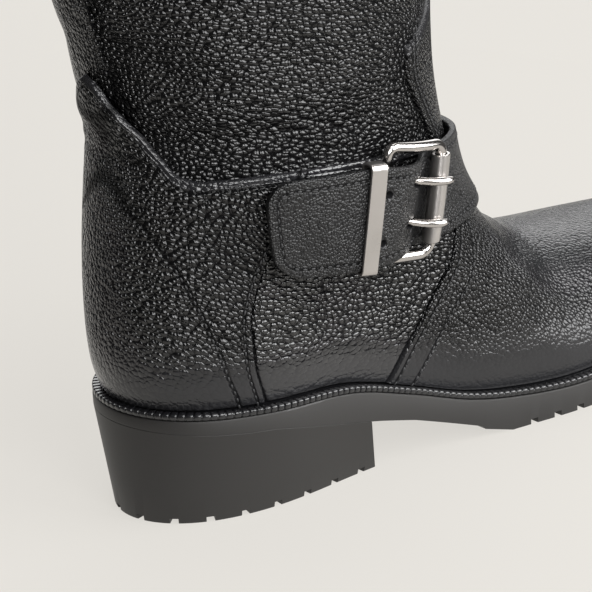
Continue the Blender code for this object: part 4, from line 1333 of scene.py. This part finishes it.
def strap_points(turn, across, lift):
    """Points of the strap; turn in degrees, across from -1 to 1, lift above the inner face."""
    front = ease(1 - np.abs(turn - 180) / FRONT_SPAN)
    half = STRAP_HALF * (1 - FRONT_TILT * front) - PINCH * ease(1 - np.abs(turn - PINCH_TURN) / PINCH_SPAN)
    z = from_table(STRAP_LINE, turn) + across * half
    skew = STRAP_SKEW * across * ease((90 - turn) / (90 - STRAP_TIP_TURN))
    around = np.radians(turn - skew)
    place = section_point(around, z)
    along = (place[..., 1] - BUCKLE_Y) * math.cos(BUCKLE_LEAN) - (z - BUCKLE_Z) * math.sin(BUCKLE_LEAN)
    outer = from_table(STRAP_RISE, along)
    inner = from_table(STRAP_FALL, turn)
    tilt = from_table(STRAP_TILT, along) * across
    flare = FRONT_FLARE * front * across
    return pushed(section_point, around, z, np.where(turn < 180, outer - tilt, inner) + flare + lift)


def strap_reach(turns):
    """Share of the strap's half width at each turn, rounded at the tip, with the run from the tip."""
    middle = strap_points(turns, np.zeros_like(turns), 0.0)
    run = run_along(middle)
    short = np.clip(1 - run / STRAP_CORNER, 0.0, 1.0)
    return 1 - STRAP_CORNER / STRAP_HALF * (1 - np.sqrt(1 - short * short)), run


def strap_turns():
    close = STRAP_TIP_TURN + STRAP_TIP_SPAN * np.linspace(0, 1, 18) ** 2
    return np.concatenate([close[:-1], np.linspace(close[-1], STRAP_END_TURN, STRAP_STATIONS)])


def strap_section():
    """Rounded cross section of the strap: across from -1 to 1 and lift from 0 to 1."""
    turn = np.radians(np.linspace(0, 90, 5))
    flat = np.linspace(-1, 1, 17)[1:-1] * (1 - STRAP_FLAT / STRAP_HALF)
    corner_across = 1 - STRAP_ROUND / STRAP_HALF * (1 - np.cos(turn))
    corner_lift = 1 - STRAP_ROUND / STRAP_THICK * (1 - np.sin(turn))
    across = np.concatenate([corner_across, flat[::-1], -corner_across[::-1]])
    lift = np.concatenate([corner_lift, np.ones_like(flat), corner_lift[::-1]])
    return np.concatenate([across, across[::-1]]), np.concatenate([lift, 1 - lift])


def make_strap():
    turns = strap_turns()
    reach, run = strap_reach(turns)
    across, lift = strap_section()
    ends = rounded(np.minimum(run, run[-1] - run) + STRAP_END, STRAP_ROUND)
    loops = []
    for turn, wide, end in zip(turns, reach, ends):
        height = STRAP_THICK * (0.5 + (lift - 0.5) * end)
        loops.append(strap_points(np.full_like(across, turn), across * wide, height))
    inside = np.minimum(np.outer(reach, 1 - np.abs(across)) * STRAP_HALF, run[:, None])
    row = np.concatenate([row_mark(inside - STRAP_ROW).ravel(), [0.0, 0.0]])
    marks = {"grain": np.full(len(row), STRAP_GRAIN), "row_side": row}
    piece = capped_piece("ankle_strap", loops, [finish("strap_leather")], marks=marks)
    bars = []
    around = np.radians(np.arange(0, 360, 20))
    slot_u, slot_long = (SLOT_FROM + SLOT_TO) / 2, (SLOT_TO - SLOT_FROM) / 2
    for points_of, middle_w, lean, middle_u, half_u, half_w in (
        (buckle_points, PRONG_UP, PRONG_LEAN, slot_u, slot_long, SLOT_HALF),
        (buckle_points, PRONG_DOWN, PRONG_LEAN, slot_u, slot_long, SLOT_HALF),
        (keeper_points, HOLE_W, 0.0, HOLE_U, HOLE_RADIUS, HOLE_RADIUS),
        (keeper_points, -HOLE_W, 0.0, HOLE_U, HOLE_RADIUS, HOLE_RADIUS),
    ):
        u = middle_u + half_u * np.cos(around)
        w = middle_w - lean * u + half_w * np.sin(around)
        bars.append(tuple(points_of(np.stack([u, w, np.full_like(u, d)], axis=-1)) for d in HOLE_REACH))
    cut_out(piece, bars)
    dress(piece, "black_leather", "strap")


def arc(centre_a, centre_b, radius, start, end, count):
    """Points of an arc in a plane, angles in degrees."""
    angles = np.radians(np.linspace(start, end, count))
    return np.stack([centre_a + radius * np.cos(angles), centre_b + radius * np.sin(angles)], axis=-1)


def dense(path, step=0.8):
    """The same open line with points at an even small step."""
    run = run_along(path[:, :3])
    at = np.linspace(0, run[-1], max(2, int(run[-1] / step)))
    return np.stack([np.interp(at, run, column) for column in path.T], axis=-1)


def tube_loops(path, normal, radii, closed):
    """Rings round a path whose plane has the given normal."""
    if closed:
        tangent = np.roll(path, -1, axis=0) - np.roll(path, 1, axis=0)
    else:
        tangent = np.gradient(path, axis=0)
    tangent = unit(tangent)
    side = unit(np.cross(tangent, normal))
    up = np.cross(side, tangent)
    angles = np.arange(ROD_SIDES) * 2 * math.pi / ROD_SIDES
    return [centre + radius * (np.outer(np.cos(angles), s) + np.outer(np.sin(angles), n))
            for centre, radius, s, n in zip(path, radii, side, up)]


def make_buckle_frame():
    bends = []
    for (u, w, radius), start in zip(FRAME_CORNERS, (0, 90, 180, 270)):
        middle_u, middle_w = u - math.copysign(radius, u), w - math.copysign(radius, w)
        bends.append(arc(middle_u, middle_w, radius, start, start + 90, 13))
    flat = np.concatenate(bends)
    slope = (ROLLER_D - BAR_D) / (ROLLER_U - BAR_U)
    path = np.column_stack([flat, BAR_D + (flat[:, 0] - BAR_U) * slope])
    path = dense(np.concatenate([path, path[:1]]))[:-1]
    loops = tube_loops(path, (-slope, 0.0, 1.0), np.full(len(path), ROD_RADIUS), True)
    piece = ring_piece("buckle_rod", [buckle_points(ring) for ring in loops], [finish("polished_metal")])
    dress(piece, "dark_nickel", "buckle_frame")


def make_roller():
    bevel, bore = ROLLER_BEVEL, ROD_RADIUS + GAP
    loops = []
    for radius, w in (
        (bore, -ROLLER_HALF), (ROLLER_RADIUS - bevel, -ROLLER_HALF), (ROLLER_RADIUS, bevel - ROLLER_HALF),
        *((ROLLER_RADIUS, w) for w in np.linspace(2 * bevel - ROLLER_HALF, ROLLER_HALF - 2 * bevel, 12)),
        (ROLLER_RADIUS, ROLLER_HALF - bevel), (ROLLER_RADIUS - bevel, ROLLER_HALF), (bore, ROLLER_HALF),
    ):
        ring = arc(ROLLER_U, ROLLER_D, radius, 0, 360, 37)[:-1]
        loops.append(buckle_points(np.insert(ring, 1, w, axis=1)))
    piece = ring_piece("roller_tube", loops, [finish("satin_metal")], sharp=30.0)
    dress(piece, "dark_nickel", "buckle_roller")


def make_prong(name, node, w):
    hook = arc(BAR_U, BAR_D, ROD_RADIUS + GAP + HOOK_RADIUS, 105, 75, 7)
    knots = np.arange(len(PRONG_PATH), dtype=float)
    at = np.linspace(0, knots[-1], 40)
    body = np.stack([smooth(knots, column, at) for column in PRONG_PATH.T], axis=-1)
    path = np.concatenate([np.insert(hook, 2, HOOK_RADIUS, axis=1), body])
    rows = np.insert(path, 1, w - PRONG_LEAN * path[:, 0], axis=1)
    loops = tube_loops(rows[:, :3], (0.0, 1.0, 0.0), rows[:, 3], False)
    ahead = unit(rows[-1, :3] - rows[-2, :3])
    last = loops[-1] - rows[-1, :3]
    loops += [rows[-1, :3] + last * wide + ahead * far for wide, far in PRONG_TIP]
    piece = capped_piece(name, [buckle_points(ring) for ring in loops], [finish("polished_metal")])
    dress(piece, "dark_nickel", node)


def keeper_ring(inset):
    """Rounded rectangle of the keeper's band in w and d."""
    corner = KEEPER_CORNER - inset
    reach = KEEPER_REACH - inset - corner
    low, high = KEEPER_LOW + inset + corner, KEEPER_HIGH - inset - corner
    middles = ((reach, high), (-reach, high), (-reach, low), (reach, low))
    bends = [arc(w, d, corner, 90 * i, 90 * i + 90, 7) for i, (w, d) in enumerate(middles)]
    ring = np.concatenate(bends)
    return dense(np.concatenate([ring, ring[:1]]), KEEPER_STEP)[:-1]


def make_keeper():
    count = len(keeper_ring(0.0))
    even = np.linspace(0, 1, count, endpoint=False)
    half, band, bevel = KEEPER_HALF, KEEPER_THICK, KEEPER_BEVEL
    loops = []
    for inset, u in (
        (bevel, -half), (0.0, bevel - half), (0.0, half - bevel), (bevel, half),
        (band - bevel, half), (band, half - bevel), (band, bevel - half), (band - bevel, -half),
    ):
        ring = keeper_ring(inset)
        share = np.linspace(0, 1, len(ring), endpoint=False)
        w, d = (np.interp(even, share, column, period=1) for column in ring.T)
        d = d + KEEPER_SLOPE * u - KEEPER_TILT * w
        loops.append(keeper_points(np.stack([np.full(count, u), w, d], axis=-1)))
    piece = ring_piece("strap_keeper", loops, [finish("satin_metal")], sharp=30.0)
    dress(piece, "dark_nickel", "keeper")


def make_chape():
    sides = []
    for radius in (ROD_RADIUS + GAP + CHAPE_THICK, ROD_RADIUS + GAP):
        run = [(u, BAR_D - radius) for u in np.linspace(CHAPE_BACK, BAR_U, 20)[:-1]]
        bend = arc(BAR_U, BAR_D, radius, -90, 90, 16)
        sides.append(np.concatenate([run, bend, [(CHAPE_LAP, BAR_D + radius)]]))
    profile = np.concatenate([sides[0], sides[1][::-1]])
    loops = [buckle_points(np.insert(profile, 1, w, axis=1)) for w in (-CHAPE_HALF, CHAPE_HALF)]
    points = np.concatenate(loops)
    marks = {"grain": np.full(len(points), CHAPE_GRAIN)}
    piece = strip_piece("buckle_loop", loops, [finish("strap_leather")], marks=marks)
    dress(piece, "black_leather", "chape")


def make_buckle():
    make_chape()
    make_buckle_frame()
    make_roller()
    make_prong("prong_top", "prong_upper", PRONG_UP)
    make_prong("prong_base", "prong_lower", PRONG_DOWN)
    make_keeper()


# Stitching

def row_on_upper(turn, level, out):
    """Stitch row on a panel: points at a height over the upper and their normals."""
    return on_upper(turn, level, out + 0 * turn), outward(upper_point, turn, level)


def seam_row(edge, shift, low, high, out, side):
    """Row beside a seam given as y at each z, shifted along y, between two levels."""
    level = np.linspace(low, high, 120)
    turn = edge_turn(np.column_stack([edge[:, 0], edge[:, 1] + shift]))(level)
    return row_on_upper(side * turn, level, out)


def strap_row():
    """Row inside the strap's edges, forwards under the tip, round it and forwards again."""
    turns = strap_turns()
    _, run = strap_reach(turns)
    half, corner = STRAP_HALF - STRAP_ROW, STRAP_CORNER - STRAP_ROW
    kept = (run >= STRAP_ROW) & (turns < STRAP_ROW_END)
    turn = np.concatenate([[np.interp(STRAP_ROW, run, turns)], turns[kept]])
    short = np.clip(1 - (np.interp(turn, turns, run) - STRAP_ROW) / corner, 0.0, 1.0)
    across = (half - corner * (1 - np.sqrt(1 - short * short))) / STRAP_HALF
    tip = np.linspace(-across[0], across[0], 12)[1:-1]
    path_turn = np.concatenate([turn[::-1], np.full_like(tip, turn[0]), turn])
    path_across = np.concatenate([-across[::-1], tip, across])
    low, high = (strap_points(path_turn, path_across, lift) for lift in (0.0, STRAP_THICK))
    up = (high - low) / STRAP_THICK
    return high - STITCH_SINK * up, up


def make_stitching():
    boot = bpy.context.scene.boot
    rows = [strap_row()]
    counter_end = float(TOP_LEVEL(COUNTER_TURN(CORNER_LEVEL))) - CORNER_CLEAR
    for side in (1, -1):
        for edge, shift, end in (
            (COUNTER_EDGE, -ROW_INSIDE, counter_end), (COUNTER_ROW, 0.0, COUNTER_ROW_END),
            (VAMP_EDGE, VAMP_ROW_SHIFT, VAMP_ROW_END), (VAMP_ROW, 0.0, VAMP_ROW_END),
        ):
            rows.append(seam_row(edge, shift, ROW_START, end, PANEL_OUT - STITCH_SINK, side))
        turn = np.linspace(TOP_ROW_FROM, TOP_ROW_TO, 200)
        level = TOP_LEVEL(turn) - TOP_CLEAR
        rows.append(row_on_upper(side * turn, level, QUARTER_OUT + tab_lift(turn, level)))
    turn = np.linspace(0, 2 * math.pi, 300)
    rows.append(row_on_upper(turn, np.full_like(turn, COLLAR_LEVEL - COLLAR_CLEAR), 0.0))
    lines = path_object("leather_stitches", rows)
    sow_along(lines, {
        "Pitch": boot.stitch_pitch,
        "Size": (STITCH_SHARE * boot.stitch_pitch, STITCH_WIDE * MM, STITCH_DEEP * MM),
        "Rounding": 1, "Crease": 0.0, "Finish": finish("thread"),
    })
    dress(lines, "black_leather")


# Stage

def make_floor():
    rise = [(-FLOOR_SIZE, FLOOR_LOW), (SWEEP_FROM, FLOOR_LOW)]
    for angle in np.radians(np.arange(10, 91, 10)):
        height = SWEEP_RADIUS - SWEEP_RADIUS * math.cos(angle)
        rise.append((SWEEP_FROM + SWEEP_RADIUS * math.sin(angle), height + FLOOR_LOW))
    rise.append((SWEEP_FROM + SWEEP_RADIUS, SWEEP_TOP))
    aside = Vector((SWEEP_AHEAD.y, -SWEEP_AHEAD.x, 0.0))
    points = []
    for run, height in rise:
        for span in (-FLOOR_SIZE, FLOOR_SIZE):
            points.append(tuple(SWEEP_AHEAD * run + aside * span + Vector((0, 0, height))))
    faces = [(2 * i, 2 * i + 1, 2 * i + 3, 2 * i + 2) for i in range(len(rise) - 1)]
    disc = []
    for angle in np.radians(np.arange(0, 360, 5)):
        x = PATCH_HALF[0] * math.cos(angle) + PATCH_MIDDLE[0]
        y = PATCH_HALF[1] * math.sin(angle) + PATCH_MIDDLE[1]
        disc.append((x, y, 0.0))
    for name, corners, sheets, mirrored in (
        ("floor", points, faces, False), ("floor_near", disc, [tuple(range(len(disc)))], True),
    ):
        mesh = bpy.data.meshes.new(name)
        mesh.from_pydata(corners, [], sheets)
        mesh.materials.append(finish("floor"))
        mesh.shade_smooth()
        floor = add_object(name, mesh)
        floor.visible_glossy = mirrored


def make_lights():
    world = bpy.data.worlds.new("studio")
    bpy.context.scene.world = world
    world.use_nodes = True
    sky = world.node_tree.nodes["Background"]
    sky.inputs["Color"].default_value = SKY
    sky.inputs["Strength"].default_value = bpy.context.scene.boot.fill_light
    for name, at, wide, high, power in LIGHTS:
        lamp = bpy.data.lights.new(name, "AREA")
        lamp.shape = "RECTANGLE"
        lamp.size = wide
        lamp.size_y = high
        lamp.energy = power
        aim = (LIGHT_AIM - Vector(at)).to_track_quat("-Z", "Y")
        add_object(name, lamp).matrix_world = Matrix.Translation(at) @ aim.to_matrix().to_4x4()


def make_camera():
    camera = bpy.data.cameras.new("camera")
    camera.lens = CAMERA_LENS
    camera.sensor_width = CAMERA_SENSOR
    camera.clip_start = CAMERA_NEAR
    holder = add_object("camera", camera)
    level_right = Vector((math.cos(CAMERA_ROUND), math.sin(CAMERA_ROUND), 0.0))
    back = Vector((0.0, 0.0, math.sin(CAMERA_UP))) - SWEEP_AHEAD * math.cos(CAMERA_UP)
    right = level_right * math.cos(CAMERA_ROLL) + back.cross(level_right) * math.sin(CAMERA_ROLL)
    turn = Matrix((right, back.cross(right), back)).transposed()
    at = placed(CAMERA_TARGET + back * CAMERA_DISTANCE)[0]
    holder.matrix_world = Matrix.Translation(Vector(at)) @ turn.to_4x4()
    bpy.context.scene.camera = holder
    bpy.context.scene.view_settings.view_transform = "Standard"


# Properties, operators and panel

class BootSettings(bpy.types.PropertyGroup):
    """Sizes and colours of the boot's looks."""

    pebble: FloatProperty(name="Pebble", description="Width of a pebble of the grain",
                          default=1.6 * MM, unit="LENGTH")
    stitch_pitch: FloatProperty(name="Stitch Pitch", description="Distance from stitch to stitch",
                                default=2.9 * MM, unit="LENGTH")
    rib_pitch: FloatProperty(name="Rib Pitch", description="Distance from rib to rib of the welt",
                             default=2.6 * MM, unit="LENGTH")
    fill_light: FloatProperty(name="Fill Light", description="Strength of the even light all round",
                              default=0.08)
    leather: FloatVectorProperty(name="Leather", description="Colour of the leather", subtype="COLOR",
                                 default=(0.003, 0.003, 0.0033))
    lining: FloatVectorProperty(name="Lining", description="Colour of lining and insole", subtype="COLOR",
                                default=(0.075, 0.065, 0.055))
    thread: FloatVectorProperty(name="Thread", description="Colour of the thread", subtype="COLOR",
                                default=(0.012, 0.012, 0.013))
    rubber: FloatVectorProperty(name="Rubber", description="Colour of sole and heel", subtype="COLOR",
                                default=(0.013, 0.0122, 0.0116))
    welt: FloatVectorProperty(name="Welt", description="Colour of the welt", subtype="COLOR",
                              default=(0.007, 0.007, 0.008))
    metal: FloatVectorProperty(name="Metal", description="Colour of the buckle", subtype="COLOR",
                               default=(0.52, 0.495, 0.475))
    floor: FloatVectorProperty(name="Floor", description="Colour of the floor", subtype="COLOR",
                               default=(0.80, 0.775, 0.73))


class BOOT_OT_upper(bpy.types.Operator):
    """Make the hollow upper with its lining"""

    bl_idname = "boot.upper"
    bl_label = "Upper"

    def execute(self, context):
        make_upper()
        return {"FINISHED"}


class BOOT_OT_panels(bpy.types.Operator):
    """Make the heel panel, quarters, vamp and back strip"""

    bl_idname = "boot.panels"
    bl_label = "Panels"

    def execute(self, context):
        make_panels()
        return {"FINISHED"}


class BOOT_OT_sole(bpy.types.Operator):
    """Make the sole, heel and insole"""

    bl_idname = "boot.sole"
    bl_label = "Sole"

    def execute(self, context):
        make_outsole()
        make_heel()
        make_insole()
        return {"FINISHED"}


class BOOT_OT_welt(bpy.types.Operator):
    """Make the welt with its ribs"""

    bl_idname = "boot.welt"
    bl_label = "Welt"

    def execute(self, context):
        make_welt()
        return {"FINISHED"}


class BOOT_OT_strap(bpy.types.Operator):
    """Make the ankle strap"""

    bl_idname = "boot.strap"
    bl_label = "Strap"

    def execute(self, context):
        make_strap()
        return {"FINISHED"}


class BOOT_OT_buckle(bpy.types.Operator):
    """Make the buckle with its roller, prongs, keeper and leather loop"""

    bl_idname = "boot.buckle"
    bl_label = "Buckle"

    def execute(self, context):
        make_buckle()
        return {"FINISHED"}


class BOOT_OT_stitching(bpy.types.Operator):
    """Make the rows of stitches"""

    bl_idname = "boot.stitching"
    bl_label = "Stitching"

    def execute(self, context):
        make_stitching()
        return {"FINISHED"}


class BOOT_OT_stage(bpy.types.Operator):
    """Make the floor, lights and camera"""

    bl_idname = "boot.stage"
    bl_label = "Stage"

    def execute(self, context):
        make_floor()
        make_lights()
        make_camera()
        return {"FINISHED"}


STEPS = ("upper", "panels", "sole", "welt", "strap", "buckle", "stitching", "stage")


class BOOT_PT_sidebar(bpy.types.Panel):
    """Sizes, colours and steps of the boot"""

    bl_idname = "BOOT_PT_sidebar"
    bl_label = "Biker Boot"
    bl_space_type = "VIEW_3D"
    bl_region_type = "UI"
    bl_category = "Boot"

    def draw(self, context):
        for name in BootSettings.__annotations__:
            self.layout.prop(context.scene.boot, name)
        for step in STEPS:
            self.layout.operator("boot." + step)


CLASSES = (
    BootSettings, BOOT_OT_upper, BOOT_OT_panels, BOOT_OT_sole, BOOT_OT_welt, BOOT_OT_strap, BOOT_OT_buckle,
    BOOT_OT_stitching, BOOT_OT_stage, BOOT_PT_sidebar,
)


def register():
    for cls in CLASSES:
        bpy.utils.register_class(cls)
    bpy.types.Scene.boot = PointerProperty(type=BootSettings)


def unregister():
    del bpy.types.Scene.boot
    for cls in reversed(CLASSES):
        bpy.utils.unregister_class(cls)


def main():
    register()
    for step in STEPS:
        getattr(bpy.ops.boot, step)()


if __name__ == "__main__":
    main()
